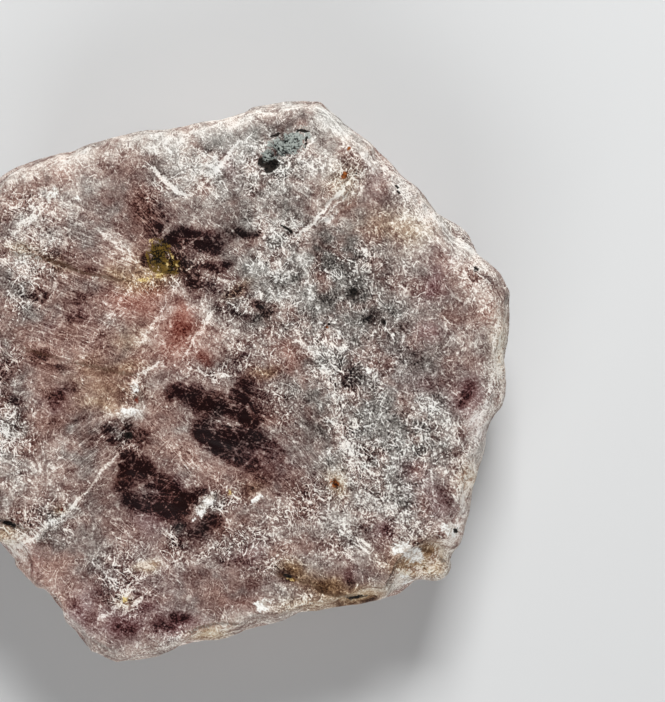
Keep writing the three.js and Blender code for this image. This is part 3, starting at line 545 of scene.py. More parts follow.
def nearest_line(points, lines):
    """Signed distance to the nearest line, and that line's strength, fading at its ends."""
    nearest = np.full(len(points), 9 * LINE_REACH)
    signed = nearest.copy()
    strength = np.zeros(len(points))
    for amount, route in lines:
        for start, end in zip(route, route[1:]):
            start, run = np.array(start), np.subtract(end, start)
            offset = points[:, :2] - start
            share = np.clip(offset @ run / (run @ run), 0, 1)
            away = np.linalg.norm(offset - share[:, None] * run, axis=1)
            side = np.sign(run[0] * offset[:, 1] - run[1] * offset[:, 0])
            closer = away < nearest
            nearest = np.where(closer, away, nearest)
            signed = np.where(closer, away * side, signed)
            strength = np.where(closer, amount, strength)
    return signed, strength * (1 - ramp(nearest, 0.6 * LINE_REACH, LINE_REACH))


# ---- Shape of the crystal -------------------------------------------------------------
TOUCHING = 0.001 * MM  # points closer than this are one point
EDGE_CUTS = 3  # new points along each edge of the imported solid
SMOOTHING_ROUNDS = 3
BASE_INSET = 0.985  # how far out the base's outer ring lies, as a share of the rim


def read_points(mesh, what):
    """The "co" or the "normal" of each point of the mesh, in rows."""
    numbers = np.empty(len(mesh.vertices) * 3)
    mesh.vertices.foreach_get(what, numbers)
    return numbers.reshape(-1, 3)


def open_copy(node):
    """A finer copy of the solid without its resting face."""
    body = bmesh.new()
    body.from_mesh(node.data)
    bmesh.ops.remove_doubles(body, verts=body.verts, dist=TOUCHING)
    floor_faces = [f for f in body.faces if all(v.co.z < TOUCHING for v in f.verts)]
    bmesh.ops.delete(body, geom=floor_faces, context="FACES")
    bmesh.ops.subdivide_edges(body, edges=body.edges, cuts=EDGE_CUTS, use_grid_fill=True)
    return body


def smooth_facets(body):
    """Rounds off the solid's flat facets, with the open rim held in place."""
    inner = [v for v in body.verts if not v.is_boundary]
    for _ in range(SMOOTHING_ROUNDS):
        bmesh.ops.smooth_vert(
            body, verts=inner, factor=0.5, use_axis_x=True, use_axis_y=True, use_axis_z=True
        )


def rim_loop(body):
    """The open rim's points in order, clockwise seen from above."""
    edge = next(e for e in body.edges if e.is_boundary)
    start, current = edge.verts
    loop = [start, current]
    while True:
        onward = next(
            e.other_vert(current)
            for e in current.link_edges
            if e.is_boundary and e.other_vert(current) is not loop[-2]
        )
        if onward is start:
            break
        loop.append(onward)
        current = onward
    area = sum(a.co.x * b.co.y - b.co.x * a.co.y for a, b in zip(loop, loop[1:] + loop[:1]))
    return loop if area < 0 else loop[::-1]


def close_base(body):
    """Fills the open rim with a triangular lattice of points on the floor.

    The lattice is made of six-sided rings. Each has one step fewer to a side than the ring
    outside it, so that its triangles stay near one size.
    """
    rim = rim_loop(body)
    sides = 6
    rings = len(rim) // (2 * sides)
    middle = sum((v.co for v in rim), Vector()) / len(rim)
    outline = rim[::2]

    def ring_points(ring):
        points = []
        for n in range(sides * ring):
            place = n * len(outline) / (sides * ring)
            low = int(place)
            a, b = outline[low].co, outline[(low + 1) % len(outline)].co
            on_rim = a.lerp(b, place - low)
            points.append(body.verts.new(middle.lerp(on_rim, BASE_INSET * ring / rings)))
        return points

    outer = ring_points(rings)
    for n, point in enumerate(outer):
        after = outer[(n + 1) % len(outer)]
        first, second, third = rim[2 * n], rim[2 * n + 1], rim[(2 * n + 2) % len(rim)]
        body.faces.new((first, second, point))
        body.faces.new((second, third, after))
        body.faces.new((second, after, point))
    for ring in range(rings, 1, -1):
        inner = ring_points(ring - 1)
        for side in range(sides):
            for step in range(ring):
                here = outer[(side * ring + step) % len(outer)]
                after = outer[(side * ring + step + 1) % len(outer)]
                below = inner[(side * (ring - 1) + step) % len(inner)]
                body.faces.new((here, after, below))
                if step < ring - 1:
                    beside = inner[(side * (ring - 1) + step + 1) % len(inner)]
                    body.faces.new((after, beside, below))
        outer = inner
    centre = body.verts.new(middle)
    for n, point in enumerate(outer):
        body.faces.new((point, outer[(n + 1) % len(outer)], centre))


def surface_weights(points, normals):
    """How much each point belongs to the main face, the rim, the sides and the base."""
    high = ramp(points[:, 2], SIDE_LEVEL, SIDE_LEVEL + 1.2)
    # Slopes of less than 18 degrees are all face, and those of more than 44 all rim.
    up = ramp(normals[:, 2], 0.72, 0.95)
    face = high * up
    rim = high * (1 - up)
    base = ramp(-normals[:, 2], 0.8, 0.97) * (1 - ramp(points[:, 2], 0.2, 1.0))
    side = np.clip(1 - face - rim - base, 0, 1)
    return face, rim, side, base


def etched_relief(points, look):
    """Relief of the main face: etch lumps, fine growth lines and open fractures."""
    coarse = patches(points, COARSE)
    lumps = 0.55 * noise(points, 1.3, 1) + 0.45 * noise(points, 0.62, 2)
    along, across = turned(points, 148)
    stretched = np.stack([along / 3.2, across / 0.42, points[:, 2]], axis=1)
    lines = noise(stretched, 1.0, 3)
    relief = look.etch_height / MM * (lumps * (0.45 + 0.9 * coarse) + 0.35 * lines)
    # A fracture is a groove with one lip raised half as much as it is deep.
    for signed, strength in (
        nearest_line(points, PALE_FRACTURES),
        nearest_line(points, BROWN_SEAMS),
    ):
        groove = np.exp(-((signed / 0.28) ** 2)) - 0.5 * np.exp(-(((signed - 0.5) / 0.3) ** 2))
        relief -= look.fracture_depth / MM * 0.6 * strength * groove
    for _, _, _, ovals in GRAINS.values():
        for oval in ovals:
            height = oval[-1]
            relief += height * ramp(grain_depth(points, [oval]), -0.1, 0.4)
    return relief


def side_relief(points, look):
    """Relief of the prism sides: thin growth layers, lumps and chips."""
    flattened = points / (4.0, 4.0, 0.5)
    layers = noise(flattened, 1.0, 5) + 0.6 * noise(flattened * 2.1, 1.0, 6)
    lumps = 0.6 * noise(points, 1.7, 7) + 0.4 * noise(points, 0.8, 8)
    return look.layer_height / MM * (0.8 * layers + lumps)


def rim_relief(points, look):
    """Relief of the bevelled rim: scaly lumps, and growth layers seen edge on."""
    scales = 1 - 2 * np.abs(noise(points, 1.5, 9))
    fine = 0.6 * noise(points, 0.9, 10) + 0.4 * noise(points, 0.5, 14)
    layers = noise(points / (5.0, 5.0, 0.4), 1.0, 15)
    return look.layer_height / MM * (1.2 * scales + fine + layers)


def side_knobs(points):
    """How far the sides swell out at each point."""
    out = np.zeros(len(points))
    for x, y, width, height in SIDE_KNOBS:
        away = np.hypot(points[:, 0] - x, points[:, 1] - y)
        out += height * np.exp(-((away / width) ** 2))
    return out


def shape_surface(mesh, look):
    """Moves the points of the fine mesh by the relief there; gives them in millimetres."""
    points = read_points(mesh, "co") / MM
    normals = read_points(mesh, "normal")
    face, rim, side, base = surface_weights(points, normals)
    height = (
        face * etched_relief(points, look)
        + rim * rim_relief(points, look)
        + side * side_relief(points, look)
        + (rim + side) * side_knobs(points)
    )
    moved = points + normals * height[:, None]
    hollows = ramp(noise(points, 6, 12) + 0.5 * noise(points, 1.4, 13), -0.5, 0.9)
    moved[:, 2] += base * look.base_hollow / MM * hollows
    low, high = (np.array(corner) / MM for corner in CAD_BOX)
    moved = np.clip(moved, low, high)
    mesh.vertices.foreach_set("co", (moved * MM).ravel())
    mesh.update()
    return moved


# ---- What the material reads from the surface ------------------------------------------
def from_rim(points):
    """How far inside the outline each point lies, seen from above, and its direction."""
    angle = np.arctan2(points[:, 1], points[:, 0])
    away = np.hypot(points[:, 0], points[:, 1])
    slices = 360
    place = (angle / (2 * math.pi) + 0.5) * slices
    widest = np.zeros(slices)
    np.maximum.at(widest, place.astype(int) % slices, away)
    outline = np.interp(place - 0.5, np.arange(slices), widest, period=slices)
    return outline - away, np.degrees(angle)


def rim_white_and_highlight(angle):
    """How white the rim is in each direction: partly frosted stone, partly painted highlight."""
    white = np.zeros(len(angle))
    for heading, reach, strength in RIM_WHITE_AND_HIGHLIGHT:
        turn = np.abs((angle - heading + 180) % 360 - 180)
        white = np.maximum(white, strength * (1 - ramp(turn, 0.8 * reach, 1.2 * reach)))
    return white


def write_surface_values(mesh, points):
    """Stores, at each point, the values that the material reads."""
    no_rise = np.zeros(len(points))
    wander = np.stack([noise(points, 1.5, 21), noise(points, 1.5, 22), no_rise], axis=1)
    fine = np.stack([noise(points, 0.6, 23), noise(points, 0.6, 24), no_rise], axis=1)
    # Patches stray by up to half a millimetre, so that none shows as a plain oval.
    strayed = points + 0.45 * wander + 0.15 * fine
    lined = points + LINE_WANDER * fine
    top = ramp(points[:, 2], SIDE_LEVEL - 0.6, SIDE_LEVEL + 0.8)
    blotches = noise(points, 5.0, 25)

    # What the sides and the base have of each patch: broad blotches, and faint tints.
    elsewhere = {
        "clear": 0.35 * ramp(blotches, 0.1, 0.8),
        "frost": 0.5 * ramp(-blotches, -0.2, 0.8),
        "rose": ramp(noise(points, 7, 26), -0.3, 0.6),
        "salmon": ramp(noise(points, 9, 29), -0.4, 0.4),
        "grey": ramp(noise(points, 7, 27), 0.1, 0.8),
        "ochre": 0.35 * ramp(noise(points, 5, 28), 0.0, 0.8),
        "blush": 0.0,
        "coarse": 0.6,
    }
    values = {}
    for name, ovals in PATCHES.items():
        crisp = WINDOW_CRISPNESS if name == "clear" else 1.0
        values[name] = top * patches(strayed, ovals, crisp) + (1 - top) * elsewhere[name]
    for heading, ovals in FIBRES.items():
        values[f"fibres_{heading}"] = top * patches(strayed, ovals) + (1 - top) * 0.2
    for name, (_, _, _, ovals) in GRAINS.items():
        values[name] = np.where(top > 0.2, grain_depth(lined, ovals), -1.0)
    for name, lines in (("pale", PALE_FRACTURES), ("brown", BROWN_STREAKS + BROWN_SEAMS)):
        values[f"{name}_line"], strength = nearest_line(lined, lines)
        values[f"{name}_strength"] = top * strength

    # The rim's whiteness is partly the bevel's frosted stone and partly painted highlight.
    inside, angle = from_rim(points)
    upper = ramp(points[:, 2], 6.0, 9.5)
    reach = RIM_WIDTH * (1.15 + 0.4 * blotches)
    near_rim = upper * (1 - ramp(inside, 0.35 * RIM_WIDTH, reach))
    values["rim"] = near_rim * rim_white_and_highlight(angle)
    face, _, _, base = surface_weights(points, read_points(mesh, "normal"))
    values["edge"] = 1 - face - base

    for name, numbers in values.items():
        attribute = mesh.attributes.new(name, "FLOAT", "POINT")
        attribute.data.foreach_set("value", numbers.astype(np.float32))


# ---- Material -------------------------------------------------------------------------
def add_node(tree, kind, inputs=None, output=0, stops=None, **settings):
    """Adds a shader node with its settings, colour stops, values and links; gives its output."""
    made = tree.nodes.new("ShaderNode" + kind)
    for name, value in settings.items():
        setattr(made, name, value)
    for key, value in (inputs or {}).items():
        if isinstance(value, bpy.types.NodeSocket):
            tree.links.new(value, made.inputs[key])
        else:
            made.inputs[key].default_value = value
    if stops:
        elements = made.color_ramp.elements
        while len(elements) < len(stops):
            elements.new(0.5)
        for element, (place, colour) in zip(elements, stops):
            element.position = place
            element.color = linear(colour)
    return made.outputs[output] if made.outputs else made


def weighted_sum(tree, start, *terms):
    """start plus each term's value times its weight; one term and no start give a product."""
    total = start
    for value, weight in terms:
        total = add_node(tree, "Math", {0: value, 1: weight, 2: total}, operation="MULTIPLY_ADD")
    return total


# The stone and its tints, each as five shades: deepest, dark, middle, light and pale.
TINTS = {
    "stone": ("#160405", "#452b29", "#9b8981", "#d6cbc1", "#f6efe7"),
    "grey": ("#0b0a0a", "#352f2c", "#918c86", "#d0ccc6", "#f3f1ec"),
    "rose": ("#190405", "#4f2a2b", "#a28583", "#dac9c4", "#f7eeea"),
    "salmon": ("#1b0806", "#4c2b25", "#a7887c", "#dcc9bc", "#f8efe6"),
    "ochre": ("#1a0e05", "#452b1a", "#a88866", "#dec8a8", "#f4ecdb"),
    "blush": ("#280704", "#5f2115", "#b47c6c", "#e0bcae", "#fae6dc"),
}
IRON_BROWN = "#4a3323"
RAGGEDNESS = 0.22  # how far the mottle moves the edges of windows and frost
# Eases from 0 at From Min to 1 at From Max, whichever of the two is the greater.
SMOOTH = {"interpolation_type": "SMOOTHSTEP"}
# A Mix node for colours: its sockets for the second colour's share and for the two colours.
SHARE, FIRST, SECOND = 0, 6, 7
MIX_COLOURS = {"output": 2, "data_type": "RGBA"}


def between(first, second, share):
    """The hex colour part of the way from one hex colour to another, as the eye sees it."""
    pairs = [(int(first[i : i + 2], 16), int(second[i : i + 2], 16)) for i in (1, 3, 5)]
    return "#" + "".join(f"{round(a + (b - a) * share):02x}" for a, b in pairs)


def shade_stops(deepest, dark, middle, light, pale):
    """Colour stops through a tint's five shades, evenly spaced in lightness."""
    shades = (
        deepest,
        dark,
        between(dark, middle, 1 / 3),
        between(dark, middle, 2 / 3),
        middle,
        between(middle, light, 1 / 2),
        light,
        pale,
    )
    return [((n + 0.4) / (len(shades) - 0.2), shade) for n, shade in enumerate(shades)]


def stone_colour(tree, lightness, value):
    """The stone's colour for a lightness from 0 to 1, tinted patch by patch."""
    colour = None
    for name, shades in TINTS.items():
        shade = add_node(tree, "ValToRGB", {0: lightness}, stops=shade_stops(*shades))
        if name == "stone":
            colour = shade
        else:
            colour = add_node(
                tree, "Mix", {SHARE: value[name], FIRST: colour, SECOND: shade}, **MIX_COLOURS
            )
    return colour


def drawn_out(
    tree, kind, place, heading, length, width, inputs, shift=0.0, height=None, **settings
):
    """A pattern drawn out along a heading, with its sizes in millimetres.

    shift moves it along, so that two uses of one pattern don't match.
    """
    sizes = (length, width, height or width)
    moved = add_node(
        tree, "Mapping",
        {"Vector": place, "Location": (shift, 0, shift), "Scale": sizes,
         "Rotation": (0, 0, math.radians(heading))},
        vector_type="TEXTURE",
    )
    return add_node(tree, kind, {"Vector": moved, **inputs}, **settings)


def strokes(tree, place, heading, length, width, line, shift, bend=1.0, shown=(0.42, 0.6)):
    """Curling strokes with thin dark flanks, where a smooth cloud passes its middle value.

    line is how wide they are, bend how much they curl, and shown the range of a second
    cloud over which they come and go.
    """
    cloud = drawn_out(
        tree, "TexNoise", place, heading, length, width,
        {"Scale": 1.0, "Detail": 0.6, "Distortion": bend}, shift,
    )
    away = add_node(tree, "Math", {0: cloud, 1: 0.5}, operation="SUBTRACT")
    away = add_node(tree, "Math", {0: away}, operation="ABSOLUTE")
    core = add_node(
        tree, "MapRange", {"Value": away, "From Min": line, "From Max": 0.3 * line}, **SMOOTH
    )
    flank = add_node(
        tree, "MapRange", {"Value": away, "From Min": 3 * line, "From Max": line}, **SMOOTH
    )
    drawn = weighted_sum(tree, 0.0, (core, 1.3), (flank, -0.3))
    gaps = drawn_out(
        tree, "TexNoise", place, heading, 0.9 * length, 0.9 * width,
        {"Scale": 1.0, "Detail": 2.0, "Roughness": 0.7}, shift + 40,
    )
    kept = add_node(
        tree, "MapRange", {"Value": gaps, "From Min": shown[0], "From Max": shown[1]}, **SMOOTH
    )
    return weighted_sum(tree, 0.0, (drawn, kept))


def etch_pattern(tree, place, value):
    """The etch's patterns: some run from 0 to 1, and some either side of 0."""
    # Mottle: 1 mm down to 0.2 mm, a little longer along one heading than it is wide.
    mottle = drawn_out(
        tree, "TexNoise", place, 132, 1.05, 0.8,
        {"Scale": 1.0, "Detail": 2.5, "Roughness": 0.66, "Distortion": 0.5},
    )
    mottle = weighted_sum(tree, -4.0, (mottle, 8.0))
    # Grit: 0.15 mm.
    grit = add_node(tree, "TexNoise", {"Vector": place, "Scale": 6.6, "Detail": 1.0})
    grit = weighted_sum(tree, -3.5, (grit, 7.0))
    # How busy the etch is, over patches 2.5 mm wide.
    busy = add_node(
        tree, "TexNoise", {"Vector": place, "Scale": 0.4, "Detail": 3.0, "Roughness": 0.6}
    )
    busy = add_node(tree, "MapRange", {"Value": busy, "From Min": 0.36, "From Max": 0.64}, **SMOOTH)
    # Curls: white strokes 0.1 mm wide, in loops 2.5 mm, 1 mm and 0.6 mm across; partly etch, partly
    # painted glints.
    curls_and_glints = weighted_sum(
        tree, 0.0,
        (strokes(tree, place, 128, 1.7, 0.8, line=0.04, shift=5.0), 0.9),
        (strokes(tree, place, 70, 1.0, 0.5, line=0.06, shift=9.0), 0.8),
        (strokes(tree, place, 40, 2.4, 1.1, line=0.03, shift=15.0, bend=1.6), 0.8),
    )
    # Flecks: 0.15 mm spots of pure white, in clusters; partly whitish etch, partly painted glints.
    spots = drawn_out(
        tree, "TexNoise", place, 132, 0.25, 0.2,
        {"Scale": 1.0, "Detail": 1.0, "Roughness": 0.6, "Distortion": 0.6},
    )
    clusters = drawn_out(
        tree, "TexNoise", place, 132, 1.2, 0.9, {"Scale": 1.0, "Detail": 3.0, "Roughness": 0.8}
    )
    level = weighted_sum(
        tree, -0.03, (spots, 1.0), (clusters, 0.32), (value["frost"], 0.07),
        (value["coarse"], 0.05), (value["clear"], -0.05),
    )
    flecks_and_glints = add_node(
        tree, "MapRange", {"Value": level, "From Min": 0.765, "From Max": 0.785}, **SMOOTH
    )
    # Silk: long fibres 0.1 mm wide over finer hairs, each set along its own heading.
    silk = 0.0
    for number, heading in enumerate(FIBRES):
        fibres = strokes(
            tree, place, heading, 3.4, 0.42,
            line=0.05, shift=20.0 + number, bend=0.5, shown=(0.36, 0.56),
        )
        hairs = drawn_out(
            tree, "TexNoise", place, heading, 2.0, 0.22,
            {"Scale": 1.0, "Detail": 2.5, "Roughness": 0.7, "Distortion": 0.9}, 50.0 + number,
        )
        hairs = weighted_sum(tree, -1.5, (hairs, 3.0), (fibres, 0.9))
        silk = weighted_sum(tree, silk, (hairs, value[f"fibres_{heading}"]))
    # Veils: hazy curved fractures 5 mm and 3 mm apart, each crisp on one side.
    veils = 0.0
    for heading, spacing, shift in ((42, 16.0, 7.0), (100, 10.0, 31.0)):
        planes = drawn_out(
            tree, "TexWave", place, heading, spacing, 2 * spacing,
            {"Scale": 1.0, "Distortion": 5.0, "Detail": 2.0, "Detail Scale": 4.5}, shift,
            output="Fac", wave_profile="SAW",
        )
        veils = weighted_sum(tree, veils, (planes, 1.0))
    veils = weighted_sum(tree, -1.0, (veils, 1.0))
    veils = weighted_sum(tree, 0.0, (veils, weighted_sum(tree, 1.0, (value["edge"], -1.0))))
    # Veins: healed cracks 0.1 mm wide, nearly straight, that cross the clear stone.
    veins = 0.0
    for heading, shift in ((30, 3.0), (106, 11.0), (153, 23.0)):
        cells = drawn_out(
            tree, "TexVoronoi", place, heading, 5.0, 1.4, {"Scale": 1.0}, shift,
            feature="DISTANCE_TO_EDGE",
        )
        lines = add_node(
            tree, "MapRange", {"Value": cells, "From Min": 0.05, "From Max": 0.012}, **SMOOTH
        )
        veins = weighted_sum(tree, veins, (lines, value["clear"]))
    return mottle, grit, busy, curls_and_glints, flecks_and_glints, silk, veils, veins


def etched_corundum(look):
    """Rough corundum, its surface etched as it weathered.

    The etch shows as white curls, flecks and silky fibres over a dark stone that is clear
    underneath, so light and dark change within a fraction of a millimetre. Part of the white
    of the curls and flecks is painted glints. Its fine pits scatter the light: there is a
    soft sheen, and no clear reflection anywhere.
    """
    material = bpy.data.materials.new("etched_corundum")
    material.use_nodes = True
    tree = material.node_tree
    tree.nodes.clear()

    names = [*PATCHES, *GRAINS, "rim", "edge"]
    names += [f"fibres_{heading}" for heading in FIBRES]
    names += ["pale_line", "pale_strength", "brown_line", "brown_strength"]
    value = {name: add_node(tree, "Attribute", output="Fac", attribute_name=name) for name in names}

    # Places in millimetres, so that each scale is one over a size in millimetres.
    place = add_node(tree, "TexCoord", output="Object")
    place = add_node(tree, "VectorMath", {0: place, "Scale": 1000.0}, operation="SCALE")
    mottle, grit, busy, curls_and_glints, flecks_and_glints, silk, veils, veins = etch_pattern(tree, place, value)

    # The windows' and frosted patches' own edges, made ragged by the mottle.
    for name in ("clear", "frost"):
        ragged = weighted_sum(tree, value[name], (mottle, RAGGEDNESS))
        value[name] = add_node(
            tree, "MapRange", {"Value": ragged, "From Min": 0.05, "From Max": 0.85}, **SMOOTH
        )

    # The tint drifts between pink and grey, over patches 2.5 mm and 0.8 mm wide.
    drift = add_node(
        tree, "TexNoise", {"Vector": place, "Scale": 0.4, "Detail": 2.0, "Roughness": 0.6},
        output="Color",
    )
    drift = add_node(tree, "SeparateColor", {0: drift}, output="Red")
    drift = weighted_sum(tree, -2.0, (drift, 4.0))
    value["salmon"] = weighted_sum(tree, value["salmon"], (drift, 0.6))
    value["grey"] = weighted_sum(tree, value["grey"], (drift, -0.6))

    # The etch is at its strongest where it is coarse, its silk where it is not.
    coarse = value["coarse"]
    amount = weighted_sum(tree, 0.34, (coarse, 0.81))
    amount = weighted_sum(tree, 0.0, (amount, weighted_sum(tree, 0.85, (busy, 0.3))))
    curl_amount = weighted_sum(tree, amount, (value["clear"], -0.4))
    rough_mottle = weighted_sum(tree, 0.0, (mottle, amount))
    rough_grit = weighted_sum(tree, 0.0, (grit, weighted_sum(tree, 0.5, (coarse, 0.7))))
    rough_curls_and_glints = weighted_sum(tree, 0.0, (curls_and_glints, curl_amount))
    rough_flecks_and_glints = weighted_sum(tree, 0.0, (flecks_and_glints, amount))
    fine_silk = weighted_sum(tree, 0.0, (silk, weighted_sum(tree, 1.0, (coarse, -0.6))))
    # Under the clear windows, the mottle goes on, deep in the stone.
    deep_mottle = weighted_sum(tree, 0.0, (mottle, 1.0), (grit, 0.3))
    deep_mottle = weighted_sum(tree, 0.0, (deep_mottle, value["clear"]))

    # Lines: bands round a middle line, broken up by the mottle.
    band = {}
    for line in ("brown", "pale"):
        away = add_node(tree, "Math", {0: value[f"{line}_line"]}, operation="ABSOLUTE")
        away = weighted_sum(tree, away, (mottle, -0.06), (grit, -0.04))
        inside = add_node(
            tree, "MapRange",
            {"Value": away, "From Min": 1.9 * LINE_WIDTH, "From Max": 0.3 * LINE_WIDTH},
            **SMOOTH,
        )
        band[line] = weighted_sum(tree, 0.0, (inside, value[f"{line}_strength"]))

    # Layers: thin growth layers seen edge on round the rim and the sides.
    layers = drawn_out(
        tree, "TexNoise", place, 0, 4.0, 4.0, {"Scale": 1.0, "Detail": 3.0, "Roughness": 0.7},
        height=0.4,
    )
    layers = weighted_sum(tree, -3.0, (layers, 6.0))
    layers = weighted_sum(tree, 0.0, (layers, value["edge"]))

    # How light the stone is: its plain lightness, then how much each pattern changes it.
    lightness = weighted_sum(
        tree, 0.43,
        (layers, 0.2),
        (value["frost"], 0.22),
        (value["clear"], -0.53),
        # the rim's whiteness, partly painted highlight
        (value["rim"], 0.30),
        (rough_mottle, 0.15),
        (deep_mottle, 0.12),
        (veils, 0.1),
        (rough_grit, 0.15),
        # the curls, partly painted glints
        (rough_curls_and_glints, 0.68),
        (fine_silk, 0.26),
        (veins, 0.2),
        # the flecks, partly painted glints
        (rough_flecks_and_glints, 0.5),
        (band["pale"], 0.5),
    )
    colour = stone_colour(tree, lightness, value)
    share = weighted_sum(tree, 0.0, (band["brown"], 0.7))
    colour = add_node(
        tree, "Mix", {SHARE: share, FIRST: colour, SECOND: linear(IRON_BROWN)}, **MIX_COLOURS
    )

    # Grown-in grains: each a mottle of a dark and a light shade.
    shade_level = weighted_sum(tree, 0.5, (mottle, 0.35), (grit, 0.25))
    for name, (dark, light, edge, _) in GRAINS.items():
        depth = weighted_sum(tree, value[name], (mottle, 0.3), (grit, 0.12))
        share = add_node(
            tree, "MapRange", {"Value": depth, "From Min": -0.05, "From Max": edge}, **SMOOTH
        )
        shade = add_node(tree, "ValToRGB", {0: shade_level}, stops=[(0.25, dark), (0.8, light)])
        colour = add_node(tree, "Mix", {SHARE: share, FIRST: colour, SECOND: shade}, **MIX_COLOURS)

    roughness = add_node(
        tree, "MapRange", {"Value": lightness, "From Min": 0.1, "From Max": 0.6,
                           "To Min": 0.55, "To Max": 0.65}, **SMOOTH,
    )
    height = weighted_sum(tree, 0.0, (rough_mottle, 0.5), (grit, 0.12), (rough_flecks_and_glints, 0.4))
    height = weighted_sum(tree, 0.0, (height, weighted_sum(tree, 1.0, (value["clear"], -0.8))))
    bump = add_node(
        tree, "Bump", {"Height": height, "Strength": look.etch_bump, "Distance": 0.2 * MM}
    )
    shader = add_node(
        tree, "BsdfPrincipled",
        {"Base Color": colour, "Roughness": roughness, "Normal": bump, "IOR": 1.77,
         "Specular IOR Level": 0.04},
    )
    add_node(tree, "OutputMaterial", {"Surface": shader})
    return material


def matt_floor(stage):
    """Board with matt paint on it: plain and pale, with a soft shadow and no highlights."""
    material = bpy.data.materials.new("matt_painted_board")
    material.use_nodes = True
    shader = material.node_tree.nodes["Principled BSDF"]
    shader.inputs["Base Color"].default_value = (*stage.floor_colour, 1.0)
    shader.inputs["Roughness"].default_value = 0.8
    return material


# ---- Settings -------------------------------------------------------------------------
class RubyLook(bpy.types.PropertyGroup):
    """Relief and finish of the crystal."""

    etch_height: FloatProperty(
        name="Etch Height", description="Relief of the etched main face",
        default=0.14 * MM, min=0, unit="LENGTH", precision=5,
    )
    fracture_depth: FloatProperty(
        name="Fracture Depth", description="Depth of the open fractures and seams",
        default=0.16 * MM, min=0, unit="LENGTH", precision=5,
    )
    layer_height: FloatProperty(
        name="Layer Height", description="Relief of the growth layers on the sides and rim",
        default=0.16 * MM, min=0, unit="LENGTH", precision=5,
    )
    base_hollow: FloatProperty(
        name="Base Hollow", description="Depth of the hollows in the resting face",
        default=0.35 * MM, min=0, unit="LENGTH", precision=5,
    )
    etch_bump: FloatProperty(
        name="Etch Bump", description="Strength of relief too fine for the mesh",
        default=0.6, min=0, max=1, subtype="FACTOR",
    )


class StudioStage(bpy.types.PropertyGroup):
    """Floor, light and camera."""

    floor_colour: FloatVectorProperty(
        name="Floor Colour", description="Colour of the plain floor",
        default=linear("#d9dada")[:3], min=0, max=1, size=3, subtype="COLOR",
    )
    frame_height: FloatProperty(
        name="Frame Height", description="Height of the view at the crystal's face",
        default=59.67 * MM, unit="LENGTH", precision=5,
    )
    key_power: FloatProperty(
        name="Key Power", description="Power of the main light in watts",
        default=1.9, min=0, unit="POWER",
    )
    fill_power: FloatProperty(
        name="Fill Power", description="Power of the fill light in watts",
        default=2.2, min=0, unit="POWER",
    )


# ---- Operators ------------------------------------------------------------------------
class RUBY_OT_crystal(bpy.types.Operator):
    """Builds the crystal's fine surface and its material in place of the plain solid"""

    bl_idname = "ruby.crystal"
    bl_label = "Ruby Crystal"
    bl_options = {"REGISTER", "UNDO"}

    def execute(self, context):
        look = context.scene.ruby_look
        body = open_copy(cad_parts[CRYSTAL_NODE])
        smooth_facets(body)
        close_base(body)
        body.normal_update()
        mesh = bpy.data.meshes.new("rough_crystal")
        body.to_mesh(mesh)
        body.free()
        points = shape_surface(mesh, look)
        write_surface_values(mesh, points)
        mesh.materials.append(etched_corundum(look))
        mesh.shade_smooth()
        crystal = bpy.data.objects.new("rough_crystal", mesh)
        context.collection.objects.link(crystal)
        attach(crystal, "root")
        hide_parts(CRYSTAL_NODE)
        return {"FINISHED"}


class RUBY_OT_stage(bpy.types.Operator):
    """Adds the plain floor, soft studio light and a camera that looks straight down"""

    bl_idname = "ruby.stage"
    bl_label = "Studio Stage"
    bl_options = {"REGISTER", "UNDO"}

    def execute(self, context):
        stage = context.scene.ruby_stage
        add_floor(context, stage)
        add_lights(context, stage)
        add_camera(context, stage)
        return {"FINISHED"}


def add_floor(context, stage):
    """A plain square floor under the crystal, at height 0."""
    mesh = bpy.data.meshes.new("floor")
    corners = [(x * FLOOR_HALF, y * FLOOR_HALF, 0) for x, y in ((-1, -1), (1, -1), (1, 1), (-1, 1))]
    mesh.from_pydata(corners, [], [(0, 1, 2, 3)])
    mesh.materials.append(matt_floor(stage))
    floor = bpy.data.objects.new("floor", mesh)
    context.collection.objects.link(floor)


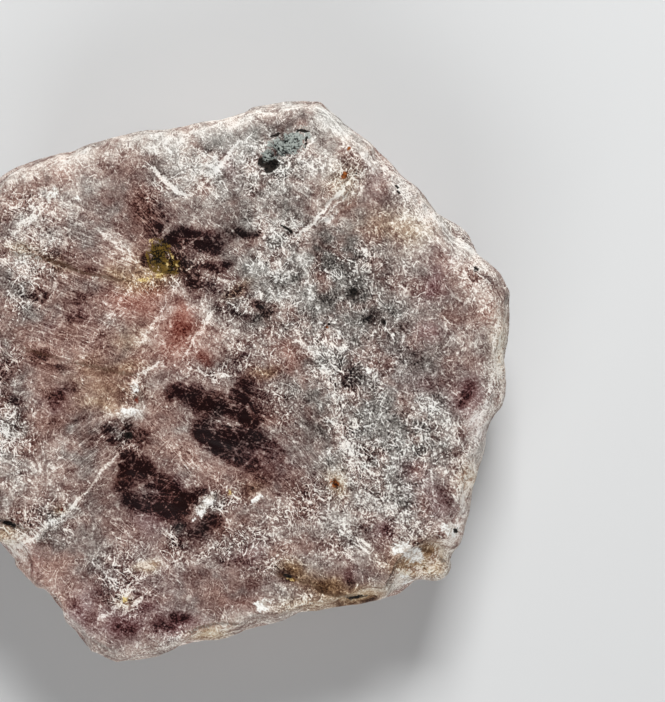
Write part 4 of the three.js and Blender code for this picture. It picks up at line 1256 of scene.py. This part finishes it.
def add_lights(context, stage):
    """A key light from the view's top, a wide fill from its foot, and a dim sky."""
    for name, power, size, turn, elevation, distance in (
        ("key", stage.key_power, 0.16, 80, 48, 0.45),
        ("fill", stage.fill_power, 0.5, -100, 30, 0.6),
    ):
        light = bpy.data.lights.new(name, "AREA")
        light.energy = power
        light.size = size
        lamp = bpy.data.objects.new(name, light)
        heading = math.radians(turn) + VIEW_TURN
        rise = math.radians(elevation)
        away = Vector((
            math.cos(heading) * math.cos(rise),
            math.sin(heading) * math.cos(rise),
            math.sin(rise),
        ))
        lamp.location = away * distance
        lamp.rotation_euler = away.to_track_quat("Z", "Y").to_euler()
        context.collection.objects.link(lamp)
    world = bpy.data.worlds.new("studio")
    world.use_nodes = True
    sky = world.node_tree.nodes["Background"]
    sky.inputs["Color"].default_value = linear("#e8eaee")
    sky.inputs["Strength"].default_value = 0.15
    context.scene.world = world


def add_camera(context, stage):
    """A camera straight above the view's centre."""
    data = bpy.data.cameras.new("camera")
    data.lens = LENS
    data.clip_start = 0.01
    camera = bpy.data.objects.new("camera", data)
    distance = stage.frame_height * data.lens / data.sensor_width
    camera.location = VIEW_CENTRE + Vector((0, 0, distance))
    camera.rotation_euler = (0, 0, VIEW_TURN)
    context.collection.objects.link(camera)
    context.scene.camera = camera
    context.scene.view_settings.view_transform = "Standard"


# ---- Panel ----------------------------------------------------------------------------
class RUBY_PT_panel(bpy.types.Panel):
    """Lists the crystal's builders and their settings"""

    bl_label = "Ruby Crystal"
    bl_space_type = "VIEW_3D"
    bl_region_type = "UI"
    bl_category = "Ruby"

    def draw(self, context):
        for operator, group in (
            (RUBY_OT_crystal, context.scene.ruby_look),
            (RUBY_OT_stage, context.scene.ruby_stage),
        ):
            box = self.layout.box()
            for name in group.__annotations__:
                box.prop(group, name)
            box.operator(operator.bl_idname)


CLASSES = (RubyLook, StudioStage, RUBY_OT_crystal, RUBY_OT_stage, RUBY_PT_panel)


def register():
    for cls in CLASSES:
        bpy.utils.register_class(cls)
    bpy.types.Scene.ruby_look = PointerProperty(type=RubyLook)
    bpy.types.Scene.ruby_stage = PointerProperty(type=StudioStage)


def unregister():
    del bpy.types.Scene.ruby_stage
    del bpy.types.Scene.ruby_look
    for cls in reversed(CLASSES):
        bpy.utils.unregister_class(cls)


def main():
    register()
    bpy.ops.ruby.crystal()
    bpy.ops.ruby.stage()


if __name__ == "__main__":
    main()
